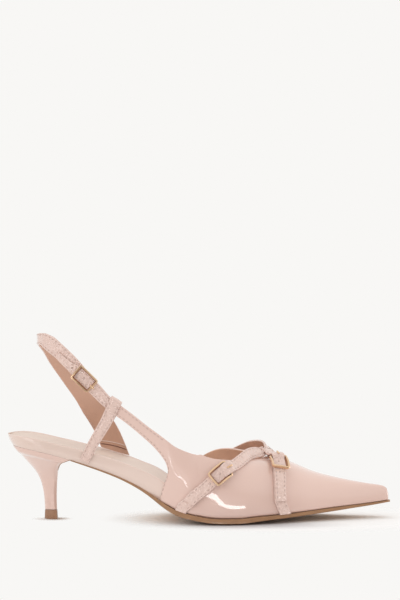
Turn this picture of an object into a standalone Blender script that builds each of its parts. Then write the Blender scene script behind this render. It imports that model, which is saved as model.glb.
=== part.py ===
"""Pointed slingback pump on a kitten heel, right shoe.

X runs from the heel to the toe, -Y is the outer side of the foot, the floor is z = 0.
Every piece is worked out from one last: the tables hold shares of the named sizes.
"""
import math
from bisect import bisect_right

import bmesh
import bpy
from mathutils import Vector

MM = 0.001

# Driving dimensions
LENGTH = 257 * MM            # back of the heel seat to the point of the toe
BALL_WIDTH = 76 * MM         # insole across the ball
SEAT_HEIGHT = 49 * MM        # underside of the heel seat at the back
TOE_SPRING = 10.3 * MM       # underside of the toe point
INSTEP = 36.2 * MM           # rise of the vamp over the sole at the throat
ANKLE_HEIGHT = 122.5 * MM    # middle of the back strap
SOLE_THICKNESS = 4 * MM      # outsole at the ball
BOARD_THICKNESS = 12 * MM    # covered insole where the waist meets the vamp
WALL = 1.5 * MM              # upper
STRAP_WIDTH = 7.8 * MM
STRAP_THICKNESS = 1.2 * MM
RIM_ROUNDING = 1.6 * MM      # upper edge of the insole's rim
HEEL_MARGIN = 0.1 * MM       # insole past the heel's seat
SEAT_LEAN = 3.2 * MM         # back of the rim's lower edge, in front of its upper edge
HEEL_TOP_THICKNESS = 6.1 * MM
HEEL_TOP_FLARE = 0.4 * MM    # foot of the heel top past the stem
WELT = 1.1 * MM              # outsole past the upper
WAIST_MARGIN = 0.5 * MM      # outsole past the insole in the waist
TOE_WALL = 7 * MM            # stiffener between the point and the cavity
GAP = 0.3 * MM               # between touching pieces
BUCKLE_LENGTH = 13.6 * MM
SLING_BUCKLE_LENGTH = 15.8 * MM
BUCKLE_WIDTH = 11.3 * MM
BUCKLE_WIRE = 1.2 * MM
BUCKLE_DEPTH = 1.6 * MM
BUCKLE_CORNER = 1.3 * MM
PRONG_LENGTH = 3.6 * MM
PRONG_WIDTH = 1.2 * MM
PRONG_HEIGHT = 1 * MM
STRAP_RISE = 6 * MM          # length over which a strap climbs to a buckle's hinge bar
STRAP_FALL = 2.6 * MM        # length over which it falls again inside the frame
STRAP_MERGE = 7 * MM         # length over which a long strap climbs onto its base strap
BASE_REACH = 8.2 * MM        # base strap behind the middle of its buckle

# along LENGTH, underside as a share of SEAT_HEIGHT, underside as a share of TOE_SPRING,
# outsole as a share of SOLE_THICKNESS, insole as a share of BOARD_THICKNESS
SOLE_LINE = [
    (0.000, 1.000, 0.000, 0.300, 0.600),
    (0.030, 0.988, 0.000, 0.300, 0.640),
    (0.062, 0.963, 0.000, 0.300, 0.665),
    (0.093, 0.930, 0.000, 0.300, 0.665),
    (0.128, 0.885, 0.000, 0.300, 0.665),
    (0.163, 0.836, 0.000, 0.300, 0.690),
    (0.202, 0.766, 0.000, 0.375, 0.740),
    (0.241, 0.692, 0.000, 0.475, 0.795),
    (0.280, 0.612, 0.000, 0.550, 0.860),
    (0.315, 0.528, 0.000, 0.625, 0.925),
    (0.350, 0.427, 0.000, 0.750, 0.985),
    (0.377, 0.332, 0.000, 0.875, 1.095),
    (0.400, 0.243, 0.000, 0.975, 1.165),
    (0.420, 0.175, 0.000, 1.000, 1.130),
    (0.440, 0.118, 0.000, 1.020, 1.050),
    (0.459, 0.082, 0.000, 1.020, 0.860),
    (0.479, 0.057, 0.000, 1.000, 0.690),
    (0.498, 0.037, 0.000, 1.000, 0.520),
    (0.520, 0.017, 0.000, 0.975, 0.410),
    (0.542, 0.005, 0.000, 0.975, 0.360),
    (0.564, 0.000, 0.000, 0.975, 0.330),
    (0.607, 0.000, 0.000, 0.975, 0.270),
    (0.642, 0.000, 0.080, 0.950, 0.270),
    (0.673, 0.000, 0.168, 0.850, 0.270),
    (0.708, 0.000, 0.239, 0.775, 0.270),
    (0.739, 0.000, 0.301, 0.725, 0.270),
    (0.767, 0.000, 0.363, 0.700, 0.270),
    (0.805, 0.000, 0.451, 0.650, 0.270),
    (0.840, 0.000, 0.531, 0.625, 0.270),
    (0.903, 0.000, 0.700, 0.475, 0.270),
    (0.949, 0.000, 0.830, 0.375, 0.270),
    (1.000, 0.000, 1.000, 0.250, 0.270),
]

# along LENGTH, half width of the insole as a share of half BALL_WIDTH,
# sideways swing of the middle line as a share of BALL_WIDTH
OUTLINE = [
    (0.000, 0.640, 0.000),
    (0.093, 0.640, 0.000),
    (0.163, 0.672, 0.000),
    (0.241, 0.705, -0.003),
    (0.315, 0.750, -0.008),
    (0.377, 0.820, -0.014),
    (0.440, 0.910, -0.020),
    (0.498, 0.980, -0.020),
    (0.564, 1.000, -0.012),
    (0.607, 0.985, -0.002),
    (0.642, 0.945, 0.010),
    (0.673, 0.900, 0.022),
    (0.708, 0.830, 0.036),
    (0.739, 0.750, 0.048),
    (0.767, 0.680, 0.058),
    (0.805, 0.560, 0.072),
    (0.840, 0.455, 0.084),
    (0.903, 0.280, 0.102),
    (0.949, 0.165, 0.112),
    (0.977, 0.090, 0.116),
    (0.988, 0.055, 0.117),
    (0.996, 0.028, 0.118),
    (1.000, 0.012, 0.118),
]
SEAT_ROUND = 0.105           # the heel end is round up to this share of LENGTH
ROUNDNESS = 2.15             # exponent of the round ends
INSOLE_END = 0.945           # front of the insole along LENGTH
WELT_START = 0.370           # the outsole widens from the waist to the welt
WELT_FULL = 0.410            # between these shares of LENGTH
EDGE_ROUND = 0.28            # rise of the outsole's lower edge as a share of its thickness

# along LENGTH, rise of the outer side and of the inner side over the sole as shares of INSTEP,
# exponent of the section (1 is an ellipse, less has steeper sides); behind the throat the rise
# is that of the foot, which the toplines cut off
RISE = [
    (0.350, 5.500, 5.500, 0.66),
    (0.400, 3.600, 3.600, 0.66),
    (0.440, 2.350, 2.600, 0.66),
    (0.479, 1.770, 2.200, 0.66),
    (0.529, 1.420, 1.800, 0.66),
    (0.564, 1.315, 1.560, 0.66),
    (0.591, 1.190, 1.420, 0.69),
    (0.623, 1.094, 1.250, 0.73),
    (0.646, 1.036, 1.120, 0.75),
    (0.673, 1.000, 1.000, 0.78),
    (0.705, 0.955, 0.955, 0.82),
    (0.735, 0.895, 0.895, 0.86),
    (0.767, 0.785, 0.785, 0.91),
    (0.798, 0.672, 0.672, 0.95),
    (0.840, 0.560, 0.560, 0.97),
    (0.900, 0.433, 0.433, 1.00),
    (0.949, 0.343, 0.343, 1.00),
    (0.977, 0.295, 0.295, 1.00),
    (0.988, 0.265, 0.265, 1.00),
    (0.996, 0.215, 0.215, 1.00),
    (1.000, 0.110, 0.110, 1.00),
]

# along LENGTH, outer topline and inner topline, from the sole edge (1) to the ridge (0)
TOPLINE = [
    (0.440, 0.563, 0.978),
    (0.470, 0.563, 0.908),
    (0.500, 0.569, 0.823),
    (0.529, 0.527, 0.722),
    (0.556, 0.489, 0.620),
    (0.588, 0.393, 0.510),
    (0.619, 0.275, 0.395),
    (0.646, 0.165, 0.230),
    (0.660, 0.108, 0.148),
    (0.668, 0.057, 0.074),
    (0.673, 0.000, 0.000),
]
THROAT = 0.673
QUARTER_START = 0.506        # the outer side ends here and its quarter begins
INNER_END = 0.435            # rear end of the inner side
TOE_WALL_START = 0.860       # the cavity draws back from the point in front of this share
SEAT_SECTIONS = [0.001, 0.005, 0.014]
TIP_SECTIONS = (0.646, 0.660, 0.668, 0.977, 0.988, 0.996, 1.000)
ROWS_UP = 8                  # steps of the upper from the sole to its topline
STRAP_CUTS = 6               # steps of the quarter strap between two cuts
STRAP_SAMPLES = 240          # points at which a vamp strap's length is measured
STRAP_STEP = 1.8 * MM        # length of a vamp strap's segments
BASE_CUTS = 14

# Rear of the outer quarter and its strap, as cuts from the lower to the upper edge:
# lower edge along LENGTH and as a share of ANKLE_HEIGHT (0 stands on the sole), then the
# upper edge
QUARTER = [
    (0.482, 0.000, 0.498, 0.380),
    (0.459, 0.000, 0.491, 0.384),
    (0.440, 0.000, 0.484, 0.387),
    (0.420, 0.000, 0.478, 0.391),
    (0.400, 0.000, 0.471, 0.396),
    (0.407, 0.195, 0.463, 0.402),
    (0.416, 0.250, 0.455, 0.409),
    (0.420, 0.290, 0.447, 0.416),
    (0.416, 0.328, 0.435, 0.430),
    (0.407, 0.362, 0.423, 0.449),
    (0.385, 0.417, 0.403, 0.480),
    (0.350, 0.483, 0.368, 0.532),
    (0.315, 0.543, 0.332, 0.591),
    (0.285, 0.588, 0.300, 0.641),
    (0.251, 0.642, 0.272, 0.688),
    (0.212, 0.722, 0.234, 0.776),
    (0.170, 0.812, 0.189, 0.858),
    (0.151, 0.852, 0.167, 0.881),
    (0.137, 0.881, 0.149, 0.911),
    (0.129, 0.899, 0.137, 0.929),
]
SLING_BUCKLE_CUT = 15.4      # place of the buckle between the cuts above
QUARTER_FOOT = 4             # last cut that stands on the sole
QUARTER_STRAP = 12           # the strap begins at this cut

# Back strap from the base of its inner panel round the ankle to the buckle: side of the foot,
# lower edge along LENGTH and as a share of ANKLE_HEIGHT (0 stands on the insole), upper edge,
# share of PANEL_INSET
SLING = [
    (1, 0.240, 0.000, 0.315, 0.000, 1.00),
    (1, 0.222, 0.465, 0.291, 0.456, 0.50),
    (1, 0.196, 0.555, 0.261, 0.567, 0.20),
    (1, 0.170, 0.645, 0.226, 0.690, 0.00),
    (1, 0.147, 0.710, 0.191, 0.780, 0.00),
    (1, 0.125, 0.774, 0.161, 0.850, 0.00),
    (1, 0.100, 0.849, 0.125, 0.930, 0.00),
    (1, 0.081, 0.918, 0.094, 0.996, 0.00),
    (1, 0.070, 0.958, 0.070, 1.020, 0.00),
    (-1, 0.078, 0.966, 0.090, 1.030, 0.00),
    (-1, 0.101, 0.932, 0.117, 1.014, 0.00),
    (-1, 0.125, 0.898, 0.142, 0.975, 0.00),
    (-1, 0.165, 0.823, 0.190, 0.884, 0.00),
    (-1, 0.201, 0.742, 0.223, 0.792, 0.00),
]
ANKLE_BACK = 0.070           # back of the strap along LENGTH
ANKLE_FRONT = 0.195          # the strap curves round behind this share of LENGTH
ANKLE_SECTION = 0.8          # exponent of that curve, less is wider
PANEL_INSET = 3.2 * MM       # base of the inner panel, in from the wall line

# Keeper: middle line along LENGTH, share of the height from the sole to ANKLE_HEIGHT,
# stand-off of its middle in wall steps, width as a share of STRAP_WIDTH
KEEPER = [
    (0.203, 0.028, -0.40, 0.82),
    (0.211, 0.083, -0.40, 0.85),
    (0.225, 0.180, -0.15, 0.90),
    (0.244, 0.288, 0.30, 0.96),
    (0.261, 0.384, 0.62, 1.02),
    (0.272, 0.458, 0.62, 1.06),
    (0.280, 0.511, 0.62, 1.06),
    (0.284, 0.542, 0.62, 1.06),
    (0.287, 0.559, 0.33, 1.06),
    (0.288, 0.564, -0.42, 1.06),
    (0.287, 0.559, -1.15, 1.06),
    (0.284, 0.542, -1.62, 1.06),
    (0.280, 0.511, -1.62, 1.06),
    (0.272, 0.458, -1.62, 1.06),
    (0.264, 0.410, -1.62, 1.06),
]
KEEPER_ACROSS = (0.70, 0, -0.46)     # direction of its width, along the quarter strap

# Vamp straps from the far end of the long strap to its free end: along LENGTH, place round the
# foot from the outer sole edge (-1) over the ridge (0) to the inner sole edge (1), height over
# the upper where the strap spans free in strap thicknesses, sine of its roll there
BACK_STRAP = [
    (0.728, 1.040, 0.00, 0.00),
    (0.722, 0.840, 0.00, 0.00),
    (0.710, 0.542, 0.00, 0.00),
    (0.692, 0.222, 0.90, -0.10),
    (0.670, 0.000, 2.30, -0.35),
    (0.650, -0.092, 2.20, -0.60),
    (0.630, -0.183, 1.70, -0.60),
    (0.610, -0.345, 0.80, -0.25),
    (0.588, -0.508, 0.00, 0.00),
    (0.556, -0.684, 0.00, 0.00),
    (0.510, -0.884, 0.00, 0.00),
    (0.477, -0.973, 0.00, 0.00),
]
BACK_STRAP_BUCKLE = 0.822    # share of the way through the rows
BACK_STRAP_BASE = (0.436, -1.022)
FRONT_STRAP = [
    (0.530, 1.013, 0.00, 0.00),
    (0.552, 0.892, 0.30, 0.00),
    (0.578, 0.698, 0.80, -0.15),
    (0.613, 0.491, 2.10, -0.35),
    (0.642, 0.278, 3.60, -0.35),
    (0.664, 0.091, 5.20, -0.25),
    (0.682, -0.034, 2.90, -0.10),
    (0.699, -0.150, 0.25, 0.00),
    (0.7055, -0.300, 0.00, 0.00),
    (0.707, -0.539, 0.00, 0.00),
    (0.708, -0.742, 0.00, 0.00),
    (0.709, -0.875, 0.00, 0.00),
]
FRONT_STRAP_BUCKLE = 0.730
FRONT_STRAP_BASE = (0.727, -1.032)

# Heel: level at its back as a share of SEAT_HEIGHT, back and front along LENGTH,
# half width as a share of half BALL_WIDTH, share of the seat's slope that the level follows
HEEL = [
    (0.130, 0.0965, 0.1280, 0.126, 0.00),
    (0.255, 0.0953, 0.1277, 0.124, 0.00),
    (0.340, 0.0938, 0.1277, 0.130, 0.00),
    (0.500, 0.0875, 0.1288, 0.160, 0.10),
    (0.605, 0.0800, 0.1302, 0.212, 0.25),
    (0.680, 0.0720, 0.1312, 0.272, 0.40),
    (0.750, 0.0612, 0.1322, 0.340, 0.55),
    (0.815, 0.0496, 0.1335, 0.415, 0.70),
    (0.875, 0.0390, 0.1370, 0.495, 0.82),
    (0.925, 0.0300, 0.1415, 0.560, 0.92),
    (0.968, 0.0205, 0.1500, 0.600, 0.98),
    (1.000, 0.0020, 0.1650, 0.640, 1.00),
]

SHOE = "shoe_frame"           # its origin is the middle of the heel's resting face

NUDE = (0.75, 0.52, 0.44)
BAND_NUDE = (0.77, 0.60, 0.50)
TAN = (0.56, 0.30, 0.14)
TOP_BROWN = (0.33, 0.16, 0.09)
GOLD = (0.75, 0.42, 0.20)


def smooth(table, share):
    """Values of a table at a share: a curve through its rows that never overshoots them."""
    last = len(table) - 1
    if share <= table[0][0]:
        return table[0][1:]
    if share >= table[last][0]:
        return table[last][1:]
    i = bisect_right([row[0] for row in table], share) - 1
    step = table[i + 1][0] - table[i][0]
    t = (share - table[i][0]) / step

    def slope(row, column):
        if row == 0 or row == last:
            return 0.0 if row == 0 else chord(last - 1, column)
        before = chord(row - 1, column)
        after = chord(row, column)
        return 0.0 if before * after <= 0 else 2 * before * after / (before + after)

    def chord(row, column):
        rise = table[row + 1][column] - table[row][column]
        return rise / (table[row + 1][0] - table[row][0])

    values = []
    for column in range(1, len(table[0])):
        a = table[i][column]
        b = table[i + 1][column]
        da = slope(i, column) * step
        db = slope(i + 1, column) * step
        values.append(a + t * da + t * t * (3 * (b - a) - 2 * da - db)
                      + t ** 3 * (2 * (a - b) + da + db))
    return values


def numbered(rows):
    """Rows with their number in front, for a smooth curve through them in order."""
    return [(i,) + tuple(row) for i, row in enumerate(rows)]


def underside(along):
    heel, toe, _, _ = smooth(SOLE_LINE, along)
    return heel * SEAT_HEIGHT + toe * TOE_SPRING


def feather(along):
    """Top of the outsole, where the upper and the insole sit."""
    return underside(along) + smooth(SOLE_LINE, along)[2] * SOLE_THICKNESS


def insole_top(along):
    return feather(along) + GAP + smooth(SOLE_LINE, along)[3] * BOARD_THICKNESS


def insole_half_width(along):
    half = smooth(OUTLINE, along)[0] * BALL_WIDTH / 2
    if along < SEAT_ROUND:
        half *= round_end((SEAT_ROUND - along) / SEAT_ROUND)
    return half


def round_end(share):
    """Half width of a round end, from 1 at its start to 0 at its tip."""
    return max(0.0, 1 - share ** ROUNDNESS) ** (1 / ROUNDNESS)


def middle(along):
    return smooth(OUTLINE, along)[1] * BALL_WIDTH


def seat_place(along):
    """Place of the rim's lower edge, which lies inside the upper one round the heel end."""
    return along * LENGTH + SEAT_LEAN * max(0.0, 1 - along / SEAT_ROUND) ** 2


def last_point(along, around):
    """Outer face of the upper: around runs from the outer sole edge (-1) to the inner (1)."""
    outer_rise, inner_rise, section = smooth(RISE, along)
    rise = (outer_rise if around < 0 else inner_rise) * INSTEP
    half = insole_half_width(along) + GAP + WALL
    angle = (1 - abs(around)) * math.pi / 2
    side = -1 if around < 0 else 1
    y = middle(along) + side * half * math.cos(angle) ** section
    z = math.copysign(abs(math.sin(angle)) ** section, angle) * rise
    return Vector((along * LENGTH, y, feather(along) + GAP + z))


def ankle_point(height, wrap):
    """Upright wall that the quarter strap and the back strap follow.

    wrap runs from the outer side (below 0) round the back (0) to the inner side (above 0).
    """
    depth = ANKLE_FRONT - ANKLE_BACK
    turn = abs(wrap) * math.pi / 2
    along = ANKLE_FRONT - depth * math.cos(turn)
    pull = math.sin(turn) ** ANKLE_SECTION
    if abs(wrap) > 1:
        along = ANKLE_FRONT + (turn - math.pi / 2) * depth
        pull = 1
    side = -1 if wrap < 0 else 1
    front = max(along, ANKLE_FRONT)
    outer_rise, inner_rise, section = smooth(RISE, front)
    rise = (outer_rise if side < 0 else inner_rise) * INSTEP
    reach = abs(height * ANKLE_HEIGHT - feather(front) - GAP) / rise
    half = insole_half_width(front) + GAP + WALL
    half *= max(0.0, 1 - reach ** (2 / section)) ** (section / 2)
    return Vector((along * LENGTH, middle(front) + side * half * pull, height * ANKLE_HEIGHT))


def wrap_at(along, side):
    """Place round the ankle of a point given along LENGTH."""
    depth = ANKLE_FRONT - ANKLE_BACK
    if along >= ANKLE_FRONT:
        return side * (1 + (along - ANKLE_FRONT) / depth * 2 / math.pi)
    return side * math.acos(min(1.0, (ANKLE_FRONT - along) / depth)) * 2 / math.pi


def tangents(surface, a, b):
    step = 0.0005
    da = surface(a + step, b) - surface(a - step, b)
    db = surface(a, b + step) - surface(a, b - step)
    return da / (2 * step), db / (2 * step)


def lifted(surface, a, b, lift):
    """Point at a height over a surface, along its outward normal."""
    da, db = tangents(surface, a, b)
    return surface(a, b) + da.cross(db).normalized() * lift


def patch(surface, a, b, heading):
    """Flat-strap coordinates round a point: distance along the heading, across, and lift."""
    da, db = tangents(surface, a, b)
    normal = da.cross(db).normalized()
    forward = (heading - normal * heading.dot(normal)).normalized()
    sideways = normal.cross(forward)
    aa, ab, bb = da.dot(da), da.dot(db), db.dot(db)
    scale = aa * bb - ab * ab

    def place(along, across, lift):
        shift = forward * along + sideways * across
        sa, sb = shift.dot(da), shift.dot(db)
        return lifted(surface, a + (sa * bb - sb * ab) / scale, b + (sb * aa - sa * ab) / scale, lift)

    return place


def material(name, color, roughness, metallic=0.0, coat=0.0):
    finish = bpy.data.materials.new(name)
    finish.use_nodes = True
    finish.diffuse_color = (*color, 1)
    shader = finish.node_tree.nodes["Principled BSDF"]
    shader.inputs["Base Color"].default_value = (*color, 1)
    shader.inputs["Roughness"].default_value = roughness
    shader.inputs["Metallic"].default_value = metallic
    shader.inputs["Coat Weight"].default_value = coat
    return finish


def new_object(name, points, faces, finish, crease_angle=40):
    mesh = bpy.data.meshes.new(name)
    mesh.from_pydata(points, [], faces)
    shape = bmesh.new()
    shape.from_mesh(mesh)
    bmesh.ops.recalc_face_normals(shape, faces=shape.faces)
    shape.to_mesh(mesh)
    shape.free()
    mesh.materials.append(finish)
    mesh.shade_smooth()
    mesh.set_sharp_from_angle(angle=math.radians(crease_angle))
    piece = bpy.data.objects.new(name, mesh)
    piece.parent = bpy.data.objects[SHOE]
    bpy.context.collection.objects.link(piece)
    return piece


def loft(name, loops, finish, ring=False):
    """Closed solid through loops of equal length; end caps pair each loop's first and last points."""
    count = len(loops[0])
    points = [point for loop in loops for point in loop]
    faces = []
    for k in range(len(loops) if ring else len(loops) - 1):
        here = k * count
        there = (k + 1) % len(loops) * count
        for i in range(count):
            j = (i + 1) % count
            faces.append((here + i, here + j, there + j, there + i))
    if not ring:
        end = (len(loops) - 1) * count
        for i in range(count // 2 - 1):
            pair = (i, count - 1 - i, count - 2 - i, i + 1)
            faces.append(pair)
            faces.append(tuple(end + corner for corner in reversed(pair)))
    return new_object(name, points, faces, finish)


def ribbon_loops(middles, sides, thickness):
    """Cross-sections of a flat strap from its middle line and its half-width vectors."""
    loops = []
    for k, (centre, side) in enumerate(zip(middles, sides)):
        ahead = middles[min(k + 1, len(middles) - 1)] - middles[max(k - 1, 0)]
        out = side.cross(ahead).normalized() * thickness / 2
        loops.append([centre - side + out, centre + out, centre + side + out,
                      centre + side - out, centre - out, centre - side - out])
    return loops


def over_sole(point):
    """Height of a point over the seat of the upper on the outsole."""
    return point.z - feather(point.x / LENGTH) - GAP


def cut_at_sole(loops):
    """Cut the ends of a strap that run below the top of the outsole level with it."""
    clear = [k for k, loop in enumerate(loops) if all(over_sole(p) > GAP for p in loop)]
    first, last = clear[0], clear[-1]
    kept = loops[first:last + 1]
    for end, beyond in ((first, first - 1), (last, last + 1)):
        if 0 <= beyond < len(loops):
            cut = []
            for near, far in zip(loops[end], loops[beyond]):
                share = over_sole(near) / (over_sole(near) - over_sole(far))
                cut.append(near + (far - near) * share)
            kept = [cut] + kept if end == first else kept + [cut]
    return kept


def refined(shares, widest):
    """A sorted list of shares with steps no wider than the given one."""
    result = [shares[0]]
    for share in shares[1:]:
        steps = math.ceil((share - result[-1]) / widest - 1e-6)
        start = result[-1]
        result += [start + (share - start) * i / steps for i in range(1, steps + 1)]
    return result


STATION_STEP = 0.024
STATIONS = refined([row[0] for row in SOLE_LINE], STATION_STEP)


def make_outsole(finish):
    """Thin leather sole from the heel breast to the point, flat on the floor at the ball."""
    shares = (-1, -0.88, -0.55, 0.55, 0.88, 1)
    edge_lifts = (1, 0.2, 0, 0, 0.2, 1)
    loops = []
    start = HEEL[-1][2] + 2 * GAP / LENGTH
    for along in [start] + [s for s in STATIONS if s > start + STATION_STEP / 2] + [1 + WELT / LENGTH]:
        blend = min(1.0, max(0.0, (along - WELT_START) / (WELT_FULL - WELT_START)))
        margin = WAIST_MARGIN + blend * (GAP + WALL + WELT - WAIST_MARGIN)
        half = insole_half_width(along) + margin
        low, top = underside(along), feather(along)
        lifts = [lift * EDGE_ROUND * (top - low) for lift in edge_lifts]
        x = along * LENGTH
        y = middle(along)
        bottom = [Vector((x, y + share * half, low + lift)) for share, lift in zip(shares, lifts)]
        cover = [Vector((x, y + share * half, top)) for share in reversed(shares)]
        loops.append(bottom + cover)
    return loft("outsole", loops, finish)


def make_insole(finish):
    """Covered insole: a deep rounded rim at the heel and waist, a thin board in the vamp."""
    shares = (-1, -0.6, 0.6, 1)
    cover_shares = (1, 0.94, -0.94, -1)
    loops = []
    stations = [s for s in STATIONS if STATION_STEP < s < INSOLE_END]
    for along in SEAT_SECTIONS + stations + [INSOLE_END]:
        half = insole_half_width(along) - (GAP if along > WELT_FULL else 0)
        low, top = feather(along) + GAP, insole_top(along)
        x = along * LENGTH
        y = middle(along)
        bottom = [Vector((seat_place(along), y + share * half, low)) for share in shares]
        heights = (top - RIM_ROUNDING, top, top, top - RIM_ROUNDING)
        cover = [Vector((x, y + share * half, z)) for share, z in zip(cover_shares, heights)]
        loops.append(bottom + cover)
    return loft("insole", loops, finish)


def quarter_cut(row):
    """Lower and upper point of a cut across the outer quarter, as height and wrap."""
    low_along, low_height, up_along, up_height = row
    return (low_height, wrap_at(low_along, -1)), (up_height, wrap_at(up_along, -1))


def quarter_table():
    """The quarter's cuts, numbered, with the height of the sole where a cut stands on it."""
    rows = [(low_along, low_height or (feather(low_along) + GAP) / ANKLE_HEIGHT, up_along, up_height)
            for low_along, low_height, up_along, up_height in QUARTER]
    return numbered(rows)


def sling_place():
    """Strap coordinates round the sling buckle, heading along the strap to its free end."""
    table = quarter_table()
    low, up = quarter_cut(smooth(table, SLING_BUCKLE_CUT))
    height, wrap = (low[0] + up[0]) / 2, (low[1] + up[1]) / 2
    ahead = quarter_middle(smooth(table, SLING_BUCKLE_CUT + 0.5))
    heading = ahead - quarter_middle(smooth(table, SLING_BUCKLE_CUT - 0.5))
    place = patch(ankle_point, height, wrap, heading)
    return place, ankle_point(height, wrap), heading.normalized()


def quarter_middle(row):
    low, up = quarter_cut(row)
    return (ankle_point(*low) + ankle_point(*up)) / 2


def hump(distance, length):
    """Share of the full rise over the hinge bar, at a distance past the buckle's middle."""
    bar = -length / 2 + BUCKLE_WIRE / 2
    reach = abs(distance - bar)
    flat = BUCKLE_WIRE / 2 + 2 * GAP
    if reach <= flat:
        return 1.0
    fall = STRAP_FALL if distance > bar else STRAP_RISE
    t = min(1.0, (reach - flat) / fall)
    return 1 - t * t * (3 - 2 * t)


def last_column(along, side):
    """Outer and inner points of the wall at a section, from the sole to the topline or ridge."""
    top = smooth(TOPLINE, along)[0 if side < 0 else 1] if along < THROAT else 0
    ramp = max(0.0, (along - TOE_WALL_START) / (1 - TOE_WALL_START))
    inner_along = along - TOE_WALL / LENGTH * ramp * ramp
    column = []
    for j in range(ROWS_UP + 1):
        around = side * (1 - (1 - top) * j / ROWS_UP)
        depth = lifted(last_point, inner_along, around, -WALL)
        column.append((lifted(last_point, along, around, 0), on_sole(depth) if j == 0 else depth))
    return column


def quarter_columns():
    """Outer and inner points of the rear of the outer quarter and its strap, cut by cut."""
    table = quarter_table()
    _, centre, heading = sling_place()
    count = STRAP_CUTS * (len(QUARTER) - 1 - QUARTER_STRAP)
    places = list(range(QUARTER_STRAP)) + [QUARTER_STRAP + i / STRAP_CUTS for i in range(count + 1)]
    columns = []
    for place in places:
        low, up = quarter_cut(smooth(table, place))
        column = []
        for j in range(ROWS_UP + 1):
            share = j / ROWS_UP
            height = low[0] + (up[0] - low[0]) * share
            wrap = low[1] + (up[1] - low[1]) * share
            away = (ankle_point(height, wrap) - centre).dot(heading)
            rise = hump(away, SLING_BUCKLE_LENGTH) * (BUCKLE_DEPTH + 2 * GAP)
            depth = lifted(ankle_point, height, wrap, rise - WALL)
            standing = j == 0 and place <= QUARTER_FOOT
            column.append((lifted(ankle_point, height, wrap, rise), on_sole(depth) if standing else depth))
        columns.append(column)
    return columns


def on_sole(point):
    return Vector((point.x, point.y, feather(point.x / LENGTH) + GAP))


def make_upper(finish):
    """Vamp, inner side and outer quarter with its strap: one hollow wall, open underneath."""
    fronts = sorted({s for s in STATIONS if s > QUARTER_START} | {QUARTER_START, THROAT, *TIP_SECTIONS},
                    reverse=True)
    waist = [s for s in reversed(STATIONS) if INNER_END < s < QUARTER_START]
    sheets = {-1: [last_column(along, -1) for along in fronts] + quarter_columns(),
              1: [last_column(along, 1) for along in fronts + waist]}
    closed = sum(along >= THROAT for along in fronts)
    outer, inner, faces, index = [], [], [], {}

    def vertex(side, i, j):
        key = ("ridge", i) if i < closed and j == ROWS_UP else (side, i, j)
        if key not in index:
            index[key] = len(outer)
            point, depth = sheets[side][i][j]
            outer.append(point)
            inner.append(depth)
        return index[key]

    for side, columns in sheets.items():
        for i in range(len(columns) - 1):
            for j in range(ROWS_UP):
                corners = [vertex(side, i, j), vertex(side, i, j + 1),
                           vertex(side, i + 1, j + 1), vertex(side, i + 1, j)]
                faces.append(tuple(corners if side < 0 else reversed(corners)))
    tip = [vertex(-1, 0, j) for j in range(ROWS_UP + 1)]
    tip += [vertex(1, 0, j) for j in range(ROWS_UP - 1, -1, -1)]
    for i in range(ROWS_UP - 1):
        faces.append((tip[i], tip[-1 - i], tip[-2 - i], tip[i + 1]))
    faces.append((tip[ROWS_UP - 1], tip[-ROWS_UP], tip[ROWS_UP]))
    return new_object("upper", outer + inner, walled(faces, len(outer)), finish)


def walled(faces, count):
    """Faces of an outer sheet, its inner twin and the edge strips that join them."""
    edges = {}
    for face in faces:
        for a, b in zip(face, face[1:] + face[:1]):
            edges[(a, b)] = True
    solid = list(faces) + [tuple(v + count for v in reversed(face)) for face in faces]
    for a, b in edges:
        if (b, a) not in edges:
            solid.append((b, a, a + count, b + count))
    return solid


def make_sling_strap(finish):
    """Back strap: wide inner panel, round the ankle, forward under the sling buckle."""
    depth = GAP + WALL + STRAP_THICKNESS / 2
    rows = []
    for side, low_along, low_height, up_along, up_height, inset in SLING:
        if low_height == 0:
            low_height = (insole_top(low_along) + 2 * GAP) / ANKLE_HEIGHT
            up_height = (insole_top(up_along) + 2 * GAP) / ANKLE_HEIGHT
        rows.append((low_height, wrap_at(low_along, side), up_height, wrap_at(up_along, side), inset))
    table = numbered(rows)
    middles, sides = [], []
    steps = 4
    for k in range((len(rows) - 1) * steps + 1):
        low_h, low_w, up_h, up_w, inset = smooth(table, k / steps)
        drop = -depth - inset * PANEL_INSET
        low = lifted(ankle_point, low_h, low_w, drop)
        up = lifted(ankle_point, up_h, up_w, drop)
        middles.append(lifted(ankle_point, (low_h + up_h) / 2, (low_w + up_w) / 2, drop))
        sides.append((up - low) / 2)
    return loft("sling_strap", ribbon_loops(middles, sides, STRAP_THICKNESS), finish)


def make_keeper_strap(finish):
    """Loop from the sole edge up over the quarter strap and back down inside it."""
    table = numbered(KEEPER)
    across = Vector(KEEPER_ACROSS).normalized() * STRAP_WIDTH / 2
    middles, sides = [], []
    steps = 3
    for k in range((len(KEEPER) - 1) * steps + 1):
        along, share, stand, width = smooth(table, k / steps)
        seat = feather(along) / ANKLE_HEIGHT
        lift = stand * (WALL + GAP) - (GAP if stand < -1 else 0)
        middles.append(lifted(ankle_point, seat + share * (1 - seat), wrap_at(along, -1), lift))
        sides.append(across * width)
    return loft("keeper_strap", ribbon_loops(middles, sides, STRAP_THICKNESS), finish)


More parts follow.
